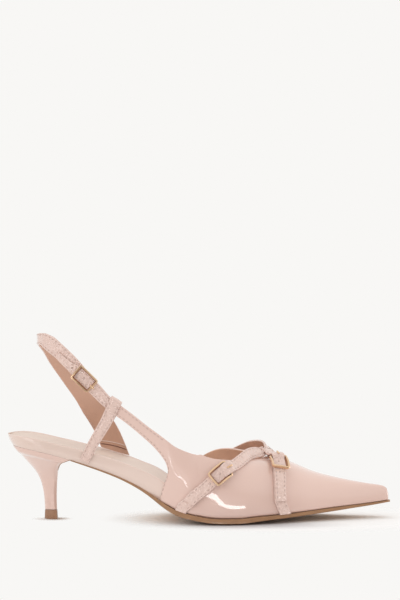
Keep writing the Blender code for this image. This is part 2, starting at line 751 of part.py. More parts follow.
def vamp_strap(name, rows, buckle_share, base_end, finish):
    """Long strap over the vamp and its short base strap; gives the place of their buckle."""
    table = numbered(rows)

    def centre(share):
        return smooth(table, min(1.0, max(0.0, share)) * (len(rows) - 1))

    def on_last(share):
        return last_point(*centre(share)[:2])

    lengths = [0.0]
    for k in range(STRAP_SAMPLES):
        lengths.append(lengths[-1] + (on_last((k + 1) / STRAP_SAMPLES) - on_last(k / STRAP_SAMPLES)).length)
    buckle_length = lengths[round(buckle_share * STRAP_SAMPLES)]
    along, around, _, _ = centre(buckle_share)
    place = patch(last_point, along, around, on_last(buckle_share + 0.02) - on_last(buckle_share))

    middles, sides = [], []
    count = round(lengths[-1] / STRAP_STEP)
    for k in range(count + 1):
        distance = lengths[-1] * k / count
        i = min(STRAP_SAMPLES - 1, bisect_right(lengths, distance) - 1)
        share = (i + (distance - lengths[i]) / (lengths[i + 1] - lengths[i])) / STRAP_SAMPLES
        a, b, free, roll = centre(share)
        past = distance - buckle_length
        merge = min(1.0, max(0.0, 1 + (past + BUCKLE_LENGTH / 2) / STRAP_MERGE))
        lift = GAP + STRAP_THICKNESS / 2 + free * STRAP_THICKNESS
        lift += (STRAP_THICKNESS + GAP) * merge * merge * (3 - 2 * merge)
        lift += (BUCKLE_DEPTH + 2 * GAP) * hump(past, BUCKLE_LENGTH)
        middles.append(lifted(last_point, a, b, lift))
        da, db = tangents(last_point, a, b)
        normal = da.cross(db).normalized()
        across = normal.cross(on_last(share + 0.01) - on_last(share - 0.01)).normalized()
        sides.append((across * math.sqrt(1 - roll * roll) + normal * roll) * STRAP_WIDTH / 2)
    loft(name, cut_at_sole(ribbon_loops(middles, sides, STRAP_THICKNESS)), finish)
    make_base_strap(name + "_base", place, centre, buckle_share, base_end, finish)
    return place


def make_base_strap(name, place, centre, buckle_share, base_end, finish):
    """Short strap on the upper: from under the buckle, under the free end, to the sole edge."""
    rest = GAP + STRAP_THICKNESS / 2
    middles = [place(-BASE_REACH * share, 0, rest) for share in (1, 0.7, 0.35)]
    course = numbered([centre(buckle_share)[:2], centre((1 + 2 * buckle_share) / 3)[:2],
                       centre(1.0)[:2], base_end])
    for k in range(BASE_CUTS + 1):
        a, b = smooth(course, (len(course) - 1) * k / BASE_CUTS)
        middles.append(lifted(last_point, a, b, rest))
    sides = []
    for k, point in enumerate(middles):
        run = middles[min(k + 1, len(middles) - 1)] - middles[max(k - 1, 0)]
        da, db = tangents(last_point, point.x / LENGTH, around_at(point))
        sides.append(da.cross(db).cross(run).normalized() * STRAP_WIDTH / 2)
    loft(name, cut_at_sole(ribbon_loops(middles, sides, STRAP_THICKNESS)), finish)


def around_at(point):
    """Place round the foot of a point near the last."""
    along = point.x / LENGTH
    side = -1 if point.y < middle(along) else 1
    outer_rise, inner_rise, section = smooth(RISE, along)
    height = (point.z - feather(along) - GAP) / (INSTEP * (outer_rise if side < 0 else inner_rise))
    share = math.copysign(min(1.0, abs(height)) ** (1 / section), height)
    return side * (1 - math.asin(share) * 2 / math.pi)


def make_buckle(name, place, length, low_bar, high_bar, finish):
    """Rectangular frame bent to the strap: the hinge bar lies lower than the far bar."""
    sides = []
    half_x, half_y = length / 2 - BUCKLE_CORNER, BUCKLE_WIDTH / 2 - BUCKLE_CORNER
    for cx, cy, start in ((half_x, half_y, 0), (-half_x, half_y, 90), (-half_x, -half_y, 180),
                          (half_x, -half_y, 270)):
        for turn in (0, 45, 90):
            angle = math.radians(start + turn)
            sides.append((cx, cy, math.cos(angle), math.sin(angle)))
        if start in (0, 180):
            sides.append((0, cy, 0, 1 if start == 0 else -1))
        else:
            sides.append((cx, 0, -1 if start == 90 else 1, 0))
    loops = []
    for cx, cy, ux, uy in sides:
        loop = []
        inside = BUCKLE_CORNER - BUCKLE_WIRE
        for radius, top in ((BUCKLE_CORNER, 0), (BUCKLE_CORNER, 1), (inside, 1), (inside, 0)):
            x, y = cx + ux * radius, cy + uy * radius
            base = low_bar + (high_bar - low_bar) * (x / length + 0.5)
            loop.append(place(x, y, base + top * BUCKLE_DEPTH))
        loops.append(loop)
    return loft(name, loops, finish, ring=True)


def make_prong(name, place, length, rest, finish):
    """Short pin across the hinge bar and the strap over it."""
    half = PRONG_WIDTH / 2
    loops = []
    start = -length / 2 - BUCKLE_WIRE
    for share, height in ((0, 0.8), (0.35, 1), (0.7, 1), (1, 0.8)):
        x = start + share * PRONG_LENGTH
        low, top = rest, rest + height * PRONG_HEIGHT
        loops.append([place(x, -half, low), place(x, half, low), place(x, half, top), place(x, -half, top)])
    return loft(name, loops, finish)


def heel_loop(level, back, front, half, tilt):
    """Outline of the heel at a level: round at the back, straight at the breast."""
    steps = (1, 0.84, 0.66, 0.48, 0.32, 0.18, 0.08, 0.02, 0.002)
    chain = []
    for step in steps:
        along = back + (front - back) * step
        if tilt == 1:
            x, width = seat_place(along), insole_half_width(along) - HEEL_MARGIN
        else:
            x, width = along * LENGTH, half * BALL_WIDTH / 2 * round_end(1 - step)
        chain.append((x, width, level - tilt * (feather(0) - feather(along))))
    outer = [Vector((x, -y, z)) for x, y, z in chain]
    inner = [Vector((x, y, z)) for x, y, z in reversed(chain)]
    return outer + inner


def make_heel(finish):
    """Covered kitten heel: a slim stem flaring into the seat."""
    loops = []
    for level, back, front, half, tilt in HEEL:
        height = feather(0) if level == 1 else level * SEAT_HEIGHT
        if level == HEEL[0][0]:
            height = HEEL_TOP_THICKNESS + GAP
        loops.append(heel_loop(height, back, front, half, tilt))
    return loft("heel", loops, finish)


def make_heel_top(finish):
    """Hard top piece under the stem, flat on the floor."""
    _, back, front, half, _ = HEEL[0]
    flare = HEEL_TOP_FLARE / LENGTH
    spread = HEEL_TOP_FLARE / BALL_WIDTH * 2
    loops = [heel_loop(0, back - flare / 2, front + flare, half + spread, 0),
             heel_loop(HEEL_TOP_THICKNESS, back, front, half, 0)]
    return loft("heel_top_piece", loops, finish)


def build():
    for old in list(bpy.data.objects):
        bpy.data.objects.remove(old, do_unlink=True)
    shoe = bpy.data.objects.new(SHOE, None)
    shoe.location.x = -(HEEL[0][1] + HEEL[0][2]) / 2 * LENGTH
    bpy.context.collection.objects.link(shoe)
    patent = material("nude_patent", NUDE, 0.2, coat=0.6)
    band = material("covered_rim", BAND_NUDE, 0.3, coat=0.3)
    leather = material("tan_sole_leather", TAN, 0.6)
    top = material("heel_top_plastic", TOP_BROWN, 0.5)
    gold = material("gold_buckle", GOLD, 0.22, metallic=1.0)

    make_outsole(leather)
    make_insole(band)
    make_heel(patent)
    make_heel_top(top)
    make_upper(patent)
    make_sling_strap(patent)
    make_keeper_strap(patent)

    place, _, _ = sling_place()
    make_buckle("sling_buckle", place, SLING_BUCKLE_LENGTH, -WALL, GAP, gold)
    make_prong("sling_buckle_prong", place, SLING_BUCKLE_LENGTH, BUCKLE_DEPTH + 3 * GAP, gold)

    on_base = 2 * GAP + STRAP_THICKNESS
    over_strap = on_base + STRAP_THICKNESS + GAP
    over_hinge = on_base + BUCKLE_DEPTH + STRAP_THICKNESS + 3 * GAP
    for name, rows, share, base_end in (
            ("vamp_strap_back", BACK_STRAP, BACK_STRAP_BUCKLE, BACK_STRAP_BASE),
            ("vamp_strap_front", FRONT_STRAP, FRONT_STRAP_BUCKLE, FRONT_STRAP_BASE)):
        place = vamp_strap(name, rows, share, base_end, patent)
        make_buckle(name + "_buckle", place, BUCKLE_LENGTH, on_base, over_strap, gold)
        make_prong(name + "_prong", place, BUCKLE_LENGTH, over_hinge, gold)


build()
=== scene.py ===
"""Finish of the pointed slingback pump, worked out from the same last as its solids."""
import math

import bmesh
import bpy
import numpy as np
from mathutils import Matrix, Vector


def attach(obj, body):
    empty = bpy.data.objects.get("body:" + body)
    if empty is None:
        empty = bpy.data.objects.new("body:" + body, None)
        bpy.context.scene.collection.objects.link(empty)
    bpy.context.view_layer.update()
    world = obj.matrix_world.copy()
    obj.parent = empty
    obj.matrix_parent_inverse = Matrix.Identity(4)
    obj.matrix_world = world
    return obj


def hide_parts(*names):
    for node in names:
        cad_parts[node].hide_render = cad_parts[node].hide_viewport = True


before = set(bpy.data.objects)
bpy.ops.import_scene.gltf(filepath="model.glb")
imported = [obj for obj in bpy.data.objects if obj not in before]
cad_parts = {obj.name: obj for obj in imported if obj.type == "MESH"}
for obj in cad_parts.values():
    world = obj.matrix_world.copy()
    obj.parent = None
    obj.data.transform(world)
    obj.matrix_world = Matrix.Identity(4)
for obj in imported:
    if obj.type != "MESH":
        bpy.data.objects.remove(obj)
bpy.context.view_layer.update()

MM = 0.001

# Sizes of the solids, repeated from the part's source
LENGTH = 257 * MM
BALL_WIDTH = 76 * MM
SEAT_HEIGHT = 49 * MM
TOE_SPRING = 10.3 * MM
INSTEP = 36.2 * MM
ANKLE_HEIGHT = 122.5 * MM
SOLE_THICKNESS = 4 * MM
BOARD_THICKNESS = 12 * MM
WALL = 1.5 * MM
STRAP_WIDTH = 7.8 * MM
STRAP_THICKNESS = 1.2 * MM
WELT = 1.1 * MM
TOE_WALL = 7 * MM
HEEL_TOP_THICKNESS = 6.1 * MM
GAP = 0.3 * MM
BUCKLE_LENGTH = 13.6 * MM
BUCKLE_WIDTH = 11.3 * MM
BUCKLE_WIRE = 1.2 * MM
BUCKLE_DEPTH = 1.6 * MM
SLING_BUCKLE_LENGTH = 15.8 * MM
HEEL_TOP_FLARE = 0.4 * MM
HEEL_ROUND = 1.8 * MM         # rounding of the heel's front corners

# Sizes of the finish
BUCKLE_CORNER = 1.5 * MM
BUCKLE_BEVEL = 0.22 * MM
FRAME_DEPTH = BUCKLE_DEPTH + 0.4 * MM
PRONG_LENGTH = 3.6 * MM
HINGE_SLOPES = (2.6 * MM, 6 * MM)   # run of a strap down from the hinge bar, inside and outside the frame
CLIMB = 7 * MM                # run over which a vamp strap climbs onto its base strap
BASE_REACH = 8.2 * MM         # length of a base strap behind the buckle's middle
FOOT_SEAM = 34 * MM           # length of the sling's foot, which is sewn on its inner face
QUARTER_SEAM = 1.3 * MM       # distance of the quarter's seams from its edges
SEAM_PLACE = 0.71             # place of a narrow strap's seams across its half width
SEAM_HEIGHT = 0.93 * STRAP_THICKNESS
SEAM_CLEAR = 1.2 * MM         # space that stitches keep from a strap's ends and the sole
NEARBY = 0.5 * MM             # step over which directions off a strap are measured
HOLE_RADIUS = 0.55 * MM
HOLE_HEIGHT = 1.07 * STRAP_THICKNESS

# Along the shoe: shares of the seat's height, the toe spring, the sole's and the board's thickness
SOLE_LINE = [
    (0, 1, 0, 0.3, 0.6), (0.03, 0.988, 0, 0.3, 0.64), (0.062, 0.963, 0, 0.3, 0.665),
    (0.093, 0.93, 0, 0.3, 0.665), (0.128, 0.885, 0, 0.3, 0.665), (0.163, 0.836, 0, 0.3, 0.69),
    (0.202, 0.766, 0, 0.375, 0.74), (0.241, 0.692, 0, 0.475, 0.795), (0.28, 0.612, 0, 0.55, 0.86),
    (0.315, 0.528, 0, 0.625, 0.925), (0.35, 0.427, 0, 0.75, 0.985), (0.377, 0.332, 0, 0.875, 1.095),
    (0.4, 0.243, 0, 0.975, 1.165), (0.42, 0.175, 0, 1, 1.13), (0.44, 0.118, 0, 1.02, 1.05),
    (0.459, 0.082, 0, 1.02, 0.86), (0.479, 0.057, 0, 1, 0.69), (0.498, 0.037, 0, 1, 0.52),
    (0.52, 0.017, 0, 0.975, 0.41), (0.542, 0.005, 0, 0.975, 0.36), (0.564, 0, 0, 0.975, 0.33),
    (0.607, 0, 0, 0.975, 0.27), (0.642, 0, 0.08, 0.95, 0.27), (0.673, 0, 0.168, 0.85, 0.27),
    (0.708, 0, 0.239, 0.775, 0.27), (0.739, 0, 0.301, 0.725, 0.27), (0.767, 0, 0.363, 0.7, 0.27),
    (0.805, 0, 0.451, 0.65, 0.27), (0.84, 0, 0.531, 0.625, 0.27), (0.903, 0, 0.7, 0.475, 0.27),
    (0.949, 0, 0.83, 0.375, 0.27), (1, 0, 1, 0.25, 0.27),
]
# Half width of the insole and place of its middle line, by the ball's
OUTLINE = [
    (0, 0.64, 0), (0.093, 0.64, 0), (0.163, 0.672, 0), (0.241, 0.705, -0.003), (0.315, 0.75, -0.008),
    (0.377, 0.82, -0.014), (0.44, 0.91, -0.02), (0.498, 0.98, -0.02), (0.564, 1, -0.012),
    (0.607, 0.985, -0.002), (0.642, 0.945, 0.01), (0.673, 0.9, 0.022), (0.708, 0.83, 0.036),
    (0.739, 0.75, 0.048), (0.767, 0.68, 0.058), (0.805, 0.56, 0.072), (0.84, 0.455, 0.084),
    (0.903, 0.28, 0.102), (0.949, 0.165, 0.112), (0.977, 0.09, 0.116), (0.988, 0.055, 0.117),
    (0.996, 0.028, 0.118), (1, 0.012, 0.118),
]
SEAT_ROUND = 0.105            # place up to which the outline rounds off round the seat
ROUNDNESS = 2.15              # exponent of that round end
SEAT_LEAN = 3.2 * MM          # how far the rim's lower edge lies inside its upper edge at the back
# Rise of the outer and the inner side over the sole, by the instep's, and roundness of the section
RISE = [
    (0.35, 5.5, 5.5, 0.66), (0.4, 3.6, 3.6, 0.66), (0.44, 2.35, 2.6, 0.66), (0.479, 1.77, 2.2, 0.66),
    (0.529, 1.42, 1.8, 0.66), (0.564, 1.315, 1.56, 0.66), (0.591, 1.19, 1.42, 0.69),
    (0.623, 1.094, 1.25, 0.73), (0.646, 1.036, 1.12, 0.75), (0.673, 1, 1, 0.78),
    (0.705, 0.955, 0.955, 0.82), (0.735, 0.895, 0.895, 0.86), (0.767, 0.785, 0.785, 0.91),
    (0.798, 0.672, 0.672, 0.95), (0.84, 0.56, 0.56, 0.97), (0.9, 0.433, 0.433, 1),
    (0.949, 0.343, 0.343, 1), (0.977, 0.295, 0.295, 1), (0.988, 0.265, 0.265, 1),
    (0.996, 0.215, 0.215, 1), (1, 0.11, 0.11, 1),
]
# Edge of the throat on the outer and the inner side, from the ridge (0) to the sole (1)
TOPLINE = [
    (0.44, 0.563, 0.978), (0.47, 0.563, 0.908), (0.5, 0.569, 0.823), (0.529, 0.527, 0.722),
    (0.556, 0.489, 0.62), (0.588, 0.393, 0.51), (0.619, 0.275, 0.395), (0.646, 0.165, 0.23),
    (0.66, 0.108, 0.148), (0.668, 0.057, 0.074), (0.673, 0, 0),
]
THROAT = 0.673                # place of the throat's point
QUARTER_START = 0.506         # place at which the outer side ends and the quarter begins
# Cuts of the outer quarter and its strap: place and height of the lower and the upper edge
QUARTER = [
    (0.482, 0, 0.498, 0.38), (0.459, 0, 0.491, 0.384), (0.44, 0, 0.484, 0.387), (0.42, 0, 0.478, 0.391),
    (0.4, 0, 0.471, 0.396), (0.407, 0.195, 0.463, 0.402), (0.416, 0.25, 0.455, 0.409),
    (0.42, 0.29, 0.447, 0.416), (0.416, 0.328, 0.435, 0.43), (0.407, 0.362, 0.423, 0.449),
    (0.385, 0.417, 0.403, 0.48), (0.35, 0.483, 0.368, 0.532), (0.315, 0.543, 0.332, 0.591),
    (0.285, 0.588, 0.3, 0.641), (0.251, 0.642, 0.272, 0.688), (0.212, 0.722, 0.234, 0.776),
    (0.17, 0.812, 0.189, 0.858), (0.151, 0.852, 0.167, 0.881), (0.137, 0.881, 0.149, 0.911),
    (0.129, 0.899, 0.137, 0.929),
]
QUARTER_STRAP = 12            # cut at which the quarter's strap begins
SLING_BUCKLE_CUT = 15.4
FOLD_RISE = 0.4 * MM          # rise of the quarter's strap where it folds over the hinge bar
CREASED_FROM = 13.3           # place on the quarter's strap from which its leather is creased
# Cuts of the sling: side, place and height of the lower and the upper edge, inset of the panel
SLING = [
    (1, 0.24, 0, 0.315, 0, 1), (1, 0.222, 0.465, 0.291, 0.456, 0.5),
    (1, 0.196, 0.555, 0.261, 0.567, 0.2), (1, 0.17, 0.645, 0.226, 0.69, 0),
    (1, 0.147, 0.71, 0.191, 0.78, 0), (1, 0.125, 0.774, 0.161, 0.85, 0),
    (1, 0.1, 0.849, 0.125, 0.93, 0), (1, 0.081, 0.918, 0.094, 0.996, 0),
    (1, 0.07, 0.958, 0.07, 1.02, 0), (-1, 0.078, 0.966, 0.09, 1.03, 0),
    (-1, 0.101, 0.932, 0.117, 1.014, 0), (-1, 0.125, 0.898, 0.142, 0.975, 0),
    (-1, 0.165, 0.823, 0.19, 0.884, 0), (-1, 0.201, 0.742, 0.223, 0.792, 0),
]
ANKLE_BACK = 0.070            # places between which the straps run round the ankle
ANKLE_FRONT = 0.195
PANEL_INSET = 3.2 * MM
# Course of the keeper: place, height between sole and ankle, distance off the quarter, width
KEEPER = [
    (0.203, 0.028, -0.4, 0.82), (0.211, 0.083, -0.4, 0.85), (0.225, 0.18, -0.15, 0.9),
    (0.244, 0.288, 0.3, 0.96), (0.261, 0.384, 0.62, 1.02), (0.272, 0.458, 0.62, 1.06),
    (0.28, 0.511, 0.62, 1.06), (0.284, 0.542, 0.62, 1.06), (0.287, 0.559, 0.33, 1.06),
    (0.288, 0.564, -0.42, 1.06), (0.287, 0.559, -1.15, 1.06), (0.284, 0.542, -1.62, 1.06),
    (0.28, 0.511, -1.62, 1.06), (0.272, 0.458, -1.62, 1.06), (0.264, 0.41, -1.62, 1.06),
]
# Courses of the vamp straps: along, around, free lift in thicknesses and sine of the roll
BACK_STRAP = [
    (0.728, 1.04, 0, 0), (0.722, 0.84, 0, 0), (0.71, 0.542, 0, 0), (0.692, 0.222, 0.9, -0.1),
    (0.67, 0, 2.3, -0.35), (0.65, -0.092, 2.2, -0.6), (0.63, -0.183, 1.7, -0.6),
    (0.61, -0.345, 0.8, -0.25), (0.588, -0.508, 0, 0), (0.556, -0.684, 0, 0), (0.51, -0.884, 0, 0),
    (0.477, -0.973, 0, 0),
]
BACK_STRAP_BUCKLE = 0.822
BACK_STRAP_BASE = (0.436, -1.022)
FRONT_STRAP = [
    (0.53, 1.013, 0, 0), (0.552, 0.892, 0.3, 0), (0.578, 0.698, 0.8, -0.15), (0.613, 0.491, 2.1, -0.35),
    (0.642, 0.278, 3.6, -0.35), (0.664, 0.091, 5.2, -0.25), (0.682, -0.034, 2.9, 0),
    (0.699, -0.15, 0.9, 0.16), (0.7055, -0.3, 0.8, 0.25), (0.707, -0.539, 0.4, 0.1),
    (0.708, -0.742, 0, 0), (0.709, -0.875, 0, 0),
]
FRONT_STRAP_BUCKLE = 0.730
FRONT_STRAP_BASE = (0.727, -1.032)
# Levels of the heel: back, front and half width, and how far they lean with the seat
HEEL = [
    (0.13, 0.0965, 0.128, 0.126, 0), (0.255, 0.0953, 0.1277, 0.124, 0), (0.34, 0.0938, 0.1277, 0.13, 0),
    (0.5, 0.0875, 0.1288, 0.16, 0.1), (0.605, 0.08, 0.1302, 0.212, 0.25),
    (0.68, 0.072, 0.1312, 0.272, 0.4), (0.75, 0.0612, 0.1322, 0.34, 0.55),
    (0.815, 0.0496, 0.1335, 0.415, 0.7), (0.875, 0.039, 0.137, 0.495, 0.82),
    (0.925, 0.03, 0.1415, 0.56, 0.92), (0.968, 0.0205, 0.15, 0.6, 0.98), (1, 0.002, 0.165, 0.64, 1),
]
ORIGIN = (HEEL[0][1] + HEEL[0][2]) / 2 * LENGTH


def smooth(table, shares):
    """Rows of values of a table at an array of shares, on curves that never overshoot its rows."""
    table = np.array(table, float)
    x = table[:, 0]
    shares = np.clip(np.asarray(shares, float), x[0], x[-1])
    i = np.clip(np.searchsorted(x, shares, side="right") - 1, 0, len(x) - 2)
    step = np.diff(x)
    t = (shares - x[i]) / step[i]
    out = []
    for y in table[:, 1:].T:
        chord = np.diff(y) / step
        slope = np.zeros(len(x))
        before, after = chord[:-1], chord[1:]
        same = before * after > 0
        slope[1:-1][same] = 2 * before[same] * after[same] / (before + after)[same]
        slope[-1] = chord[-1]
        a, b = y[i], y[i + 1]
        da, db = slope[i] * step[i], slope[i + 1] * step[i]
        out.append(a + t * da + t * t * (3 * (b - a) - 2 * da - db) + t ** 3 * (2 * (a - b) + da + db))
    return out


def numbered(rows):
    return [(i,) + tuple(row) for i, row in enumerate(rows)]


GRID = np.linspace(0, 1, 2001)
BLUR = 0.006                  # share of LENGTH over which the last's curves are evened
EVENED_TO = 0.955


def evened(values, blur=BLUR):
    """A curve with its small changes of bend evened out, away from the point of the toe."""
    width = int(3 * blur / (GRID[1] - GRID[0]))
    weights = np.exp(-0.5 * (np.arange(-width, width + 1) / (width / 3)) ** 2)
    padded = np.concatenate([np.full(width, values[0]), values, np.full(width, values[-1])])
    soft = np.convolve(padded, weights / weights.sum(), mode="valid")
    keep = np.clip((GRID - EVENED_TO) / 0.02, 0, 1)
    return soft * (1 - keep) + values * keep


_heel, _toe, _sole, _board = smooth(SOLE_LINE, GRID)
_half, _swing = smooth(OUTLINE, GRID)
_rises = smooth(RISE, GRID)
UNDERSIDE = _heel * SEAT_HEIGHT + _toe * TOE_SPRING
FEATHER = evened(UNDERSIDE + _sole * SOLE_THICKNESS, 0.003)
BOARD = evened(_board, 0.004) * BOARD_THICKNESS
HALF = evened(_half) * BALL_WIDTH / 2
MIDDLE = evened(_swing) * BALL_WIDTH
RISE_OUT = evened(_rises[0]) * INSTEP
RISE_IN = evened(_rises[1]) * INSTEP
SECTION = evened(_rises[2])


def look_up(curve, along):
    return np.interp(along, GRID, curve)


def feather(along):
    """Height of the edge between the sole and the upper."""
    return look_up(FEATHER, along)


def insole_top(along):
    return feather(along) + GAP + look_up(BOARD, along)


def round_end(share):
    """Width of a rounded end by the share of the way to its tip."""
    return np.maximum(0, 1 - np.clip(share, 0, 1) ** ROUNDNESS) ** (1 / ROUNDNESS)


def insole_half(along):
    along = np.asarray(along, float)
    return look_up(HALF, along) * round_end(np.clip((SEAT_ROUND - along) / SEAT_ROUND, 0, 1))


def leaned(along, drop=1.0):
    """Place of the rim round the seat: its lower edge (drop 1) lies inside the upper one."""
    return along * LENGTH + SEAT_LEAN * drop ** 1.7 * np.clip(1 - along / SEAT_ROUND, 0, 1) ** 2


def xyz(x, y, z):
    return np.stack(np.broadcast_arrays(x, y, z), axis=-1)


def last_point(along, around):
    """Outer face of the upper: around runs from the outer sole edge (-1) to the inner (1)."""
    along, around = np.broadcast_arrays(np.asarray(along, float), np.asarray(around, float))
    side = np.where(around < 0, -1, 1)
    rise = np.where(around < 0, look_up(RISE_OUT, along), look_up(RISE_IN, along))
    half = insole_half(along) + GAP + WALL
    angle = (1 - np.abs(around)) * math.pi / 2
    section = look_up(SECTION, along)
    y = look_up(MIDDLE, along) + side * half * np.cos(angle) ** section
    share = np.sign(angle) * np.abs(np.sin(angle)) ** section
    return xyz(along * LENGTH, y, feather(along) + GAP + rise * share)


def ankle_point(height, wrap):
    """Upright wall of the quarter strap and the back strap: wrap is below 0 on the outer side."""
    height, wrap = np.broadcast_arrays(np.asarray(height, float), np.asarray(wrap, float))
    depth = ANKLE_FRONT - ANKLE_BACK
    turn = np.abs(wrap) * math.pi / 2
    bent = np.minimum(turn, math.pi / 2)
    along = ANKLE_FRONT - depth * np.cos(bent) + np.maximum(turn - math.pi / 2, 0) * depth
    pull = np.sin(bent) ** 0.8
    side = np.where(wrap < 0, -1, 1)
    section = np.maximum(along, ANKLE_FRONT)
    rise = np.where(side < 0, look_up(RISE_OUT, section), look_up(RISE_IN, section))
    reach = (height * ANKLE_HEIGHT - feather(section) - GAP) / rise
    fullness = look_up(SECTION, section)
    inside = np.maximum(0, 1 - np.abs(reach) ** (2 / fullness)) ** (fullness / 2)
    half = (insole_half(section) + GAP + WALL) * inside
    return xyz(along * LENGTH, look_up(MIDDLE, section) + side * half * pull, height * ANKLE_HEIGHT)


def wrap_at(along, side):
    """Turn round the ankle of a place along the shoe, as ankle_point takes it."""
    depth = ANKLE_FRONT - ANKLE_BACK
    ahead = 1 + (along - ANKLE_FRONT) / depth * 2 / math.pi
    behind = np.arccos(np.clip((ANKLE_FRONT - along) / depth, -1, 1)) * 2 / math.pi
    return side * np.where(along >= ANKLE_FRONT, ahead, behind)


def unit(v):
    return v / np.maximum(np.linalg.norm(v, axis=-1, keepdims=True), 1e-12)


def tangents(surface, a, b):
    step = 0.0008
    da = surface(a + step, b) - surface(a - step, b)
    db = surface(a, b + step) - surface(a, b - step)
    return da / (2 * step), db / (2 * step)


def lifted(surface, a, b, lift):
    da, db = tangents(surface, a, b)
    return surface(a, b) + unit(np.cross(da, db)) * np.asarray(lift)[..., None]


def shifted(surface, a, b, vector):
    """Parameters of the surface point that lies a short vector away from (a, b)."""
    da, db = tangents(surface, a, b)
    aa, ab, bb = (da * da).sum(-1), (da * db).sum(-1), (db * db).sum(-1)
    sa, sb = (vector * da).sum(-1), (vector * db).sum(-1)
    scale = aa * bb - ab * ab
    return a + (sa * bb - sb * ab) / scale, b + (sb * aa - sa * ab) / scale


def hump(distance, length):
    """Share of the full rise over the hinge bar, at a distance past the buckle's middle."""
    bar = -length / 2 + BUCKLE_WIRE / 2
    flat = BUCKLE_WIRE / 2 + 2 * GAP
    t = np.clip((np.abs(distance - bar) - flat) / np.where(distance > bar, *HINGE_SLOPES), 0, 1)
    return 1 - t * t * (3 - 2 * t)


def travelled(points):
    """Distance along a path at each of its points."""
    return np.concatenate([[0], np.cumsum(np.linalg.norm(np.diff(points, axis=0), axis=1))])


class Strap:
    """A strap on a surface: parameters of its two edges and its lift along its middle line."""

    def __init__(self, surface, low, up, lift=0.0, tilt=0.0):
        self.surface = surface
        self.low = [np.asarray(v, float) for v in low]
        self.up = [np.asarray(v, float) for v in up]
        self.lift = np.broadcast_to(np.asarray(lift, float), self.low[0].shape)
        self.tilt = np.broadcast_to(np.asarray(tilt, float), self.low[0].shape)
        mid = surface((self.low[0] + self.up[0]) / 2, (self.low[1] + self.up[1]) / 2)
        self.distance = travelled(mid)
        self.length = self.distance[-1]

    def spots(self, distance, across):
        """Parameters of the surface at a distance along the strap and a place across its half width."""
        share = (np.asarray(across, float) + 1) / 2

        def value(k):
            low = np.interp(distance, self.distance, self.low[k])
            up = np.interp(distance, self.distance, self.up[k])
            return low + (up - low) * share

        return value(0), value(1)

    def at(self, distance, across, height=0.0, flat=False):
        """Points over the strap's inner face, or over the bare surface if flat."""
        a, b = self.spots(distance, across)
        rest = 0 if flat else np.interp(distance, self.distance, self.lift)
        rest = rest + np.interp(distance, self.distance, self.tilt) * across
        return lifted(self.surface, a, b, rest + np.asarray(height, float) + 0 * a)


def centred_strap(surface, a, b, width, lift=0.0, tilt=0.0):
    """A strap of even width along a middle line; the tilt is the sine of its roll."""
    tilt = np.broadcast_to(np.asarray(tilt, float), np.shape(a))
    points = surface(a, b)
    run = np.gradient(points, axis=0)
    da, db = tangents(surface, a, b)
    side = unit(np.cross(np.cross(da, db), run)) * (width / 2 * np.sqrt(1 - tilt ** 2))[:, None]
    low, up = shifted(surface, a, b, -side), shifted(surface, a, b, side)
    return Strap(surface, low, up, lift, tilt * width / 2)


def put(node, values):
    """Set inputs of a shader node by name."""
    for name, value in values.items():
        node.inputs[name].default_value = value


def fed(tree, kind, values, **sources):
    """A new shader node with its inputs' values and the sockets that feed its other inputs."""
    node = tree.nodes.new("ShaderNode" + kind)
    put(node, values)
    for name, source in sources.items():
        tree.links.new(source, node.inputs[name])
    return node


def material(name, color, roughness, metallic=0.0, coat=0.0):
    """A Principled material with its node tree and its shader, to be refined by the caller."""
    finish = bpy.data.materials.new(name)
    finish.use_nodes = True
    shader = finish.node_tree.nodes["Principled BSDF"]
    put(shader, {"Base Color": (*color, 1), "Roughness": roughness, "Metallic": metallic,
                 "Coat Weight": coat, "Coat Roughness": 0.03})
    return finish, finish.node_tree, shader


def noise(tree, scale, detail=3.0):
    """Noise in an object's own coordinates."""
    place = fed(tree, "TexCoord", {}).outputs["Object"]
    return fed(tree, "TexNoise", {"Scale": scale, "Detail": detail}, Vector=place).outputs["Fac"]


def tinted(tree, shader, value, light, dark):
    """Base colour that drifts between two tones with a noise."""
    ramp = fed(tree, "ValToRGB", {}, Fac=value)
    for element, position, tone in zip(ramp.color_ramp.elements, (0.35, 0.65), (dark, light)):
        element.position = position
        element.color = (*tone, 1)
    tree.links.new(ramp.outputs["Color"], shader.inputs["Base Color"])


def bumped(tree, shader, value, strength, distance, coat=False):
    """Relief from a noise, also on the clear coat if asked."""
    bump = fed(tree, "Bump", {"Strength": strength, "Distance": distance}, Height=value)
    for name in ("Normal", "Coat Normal") if coat else ("Normal",):
        tree.links.new(bump.outputs["Normal"], shader.inputs[name])


def scaled(color, factor):
    """A colour made darker or lighter."""
    return tuple(channel * factor for channel in color)


# Base colours of the finishes
NUDE = (0.750, 0.530, 0.456)
# The straps' nude is the vamp's leather made a little paler: painted sheen for the glints on their creased
# leather
STRAP_NUDE_AND_SHEEN = (0.765, 0.556, 0.484)
RIM_NUDE = (0.755, 0.588, 0.510)
SOCK = (0.710, 0.570, 0.490)
LINING = (0.540, 0.315, 0.220)
# Paler tone of the lining towards the straps' tops: painted light
LINING_PAINTED_LIGHT = (0.610, 0.375, 0.275)
# Paler copy of the lining for the inside of the upper: painted light in the throat
THROAT_LINING_PAINTED_LIGHT = (0.780, 0.500, 0.360)
EDGE_TAN = (0.360, 0.185, 0.088)
SOLE_TAN = (0.560, 0.340, 0.190)
TOP_BROWN = (0.330, 0.170, 0.095)
GOLD = (0.830, 0.580, 0.380)
# Dark brown copy of the gold for the frames' inner faces: painted shade of the gap round the strap
GOLD_PAINTED_SHADE = (0.420, 0.220, 0.120)
# Thread of the straps' nude, darkened as painted shade round the stitches
THREAD_PAINTED_SHADE = scaled(STRAP_NUDE_AND_SHEEN, 0.74)
HOLE_SHADE = (0.160, 0.070, 0.045)

# Surroundings, light and floor
STUDIO_PALE = (0.939, 0.930, 0.913)
STUDIO_DIM = (0.340, 0.320, 0.310)
MIDDLE_OF_SHOE = (0.09, 0.0, 0.05)
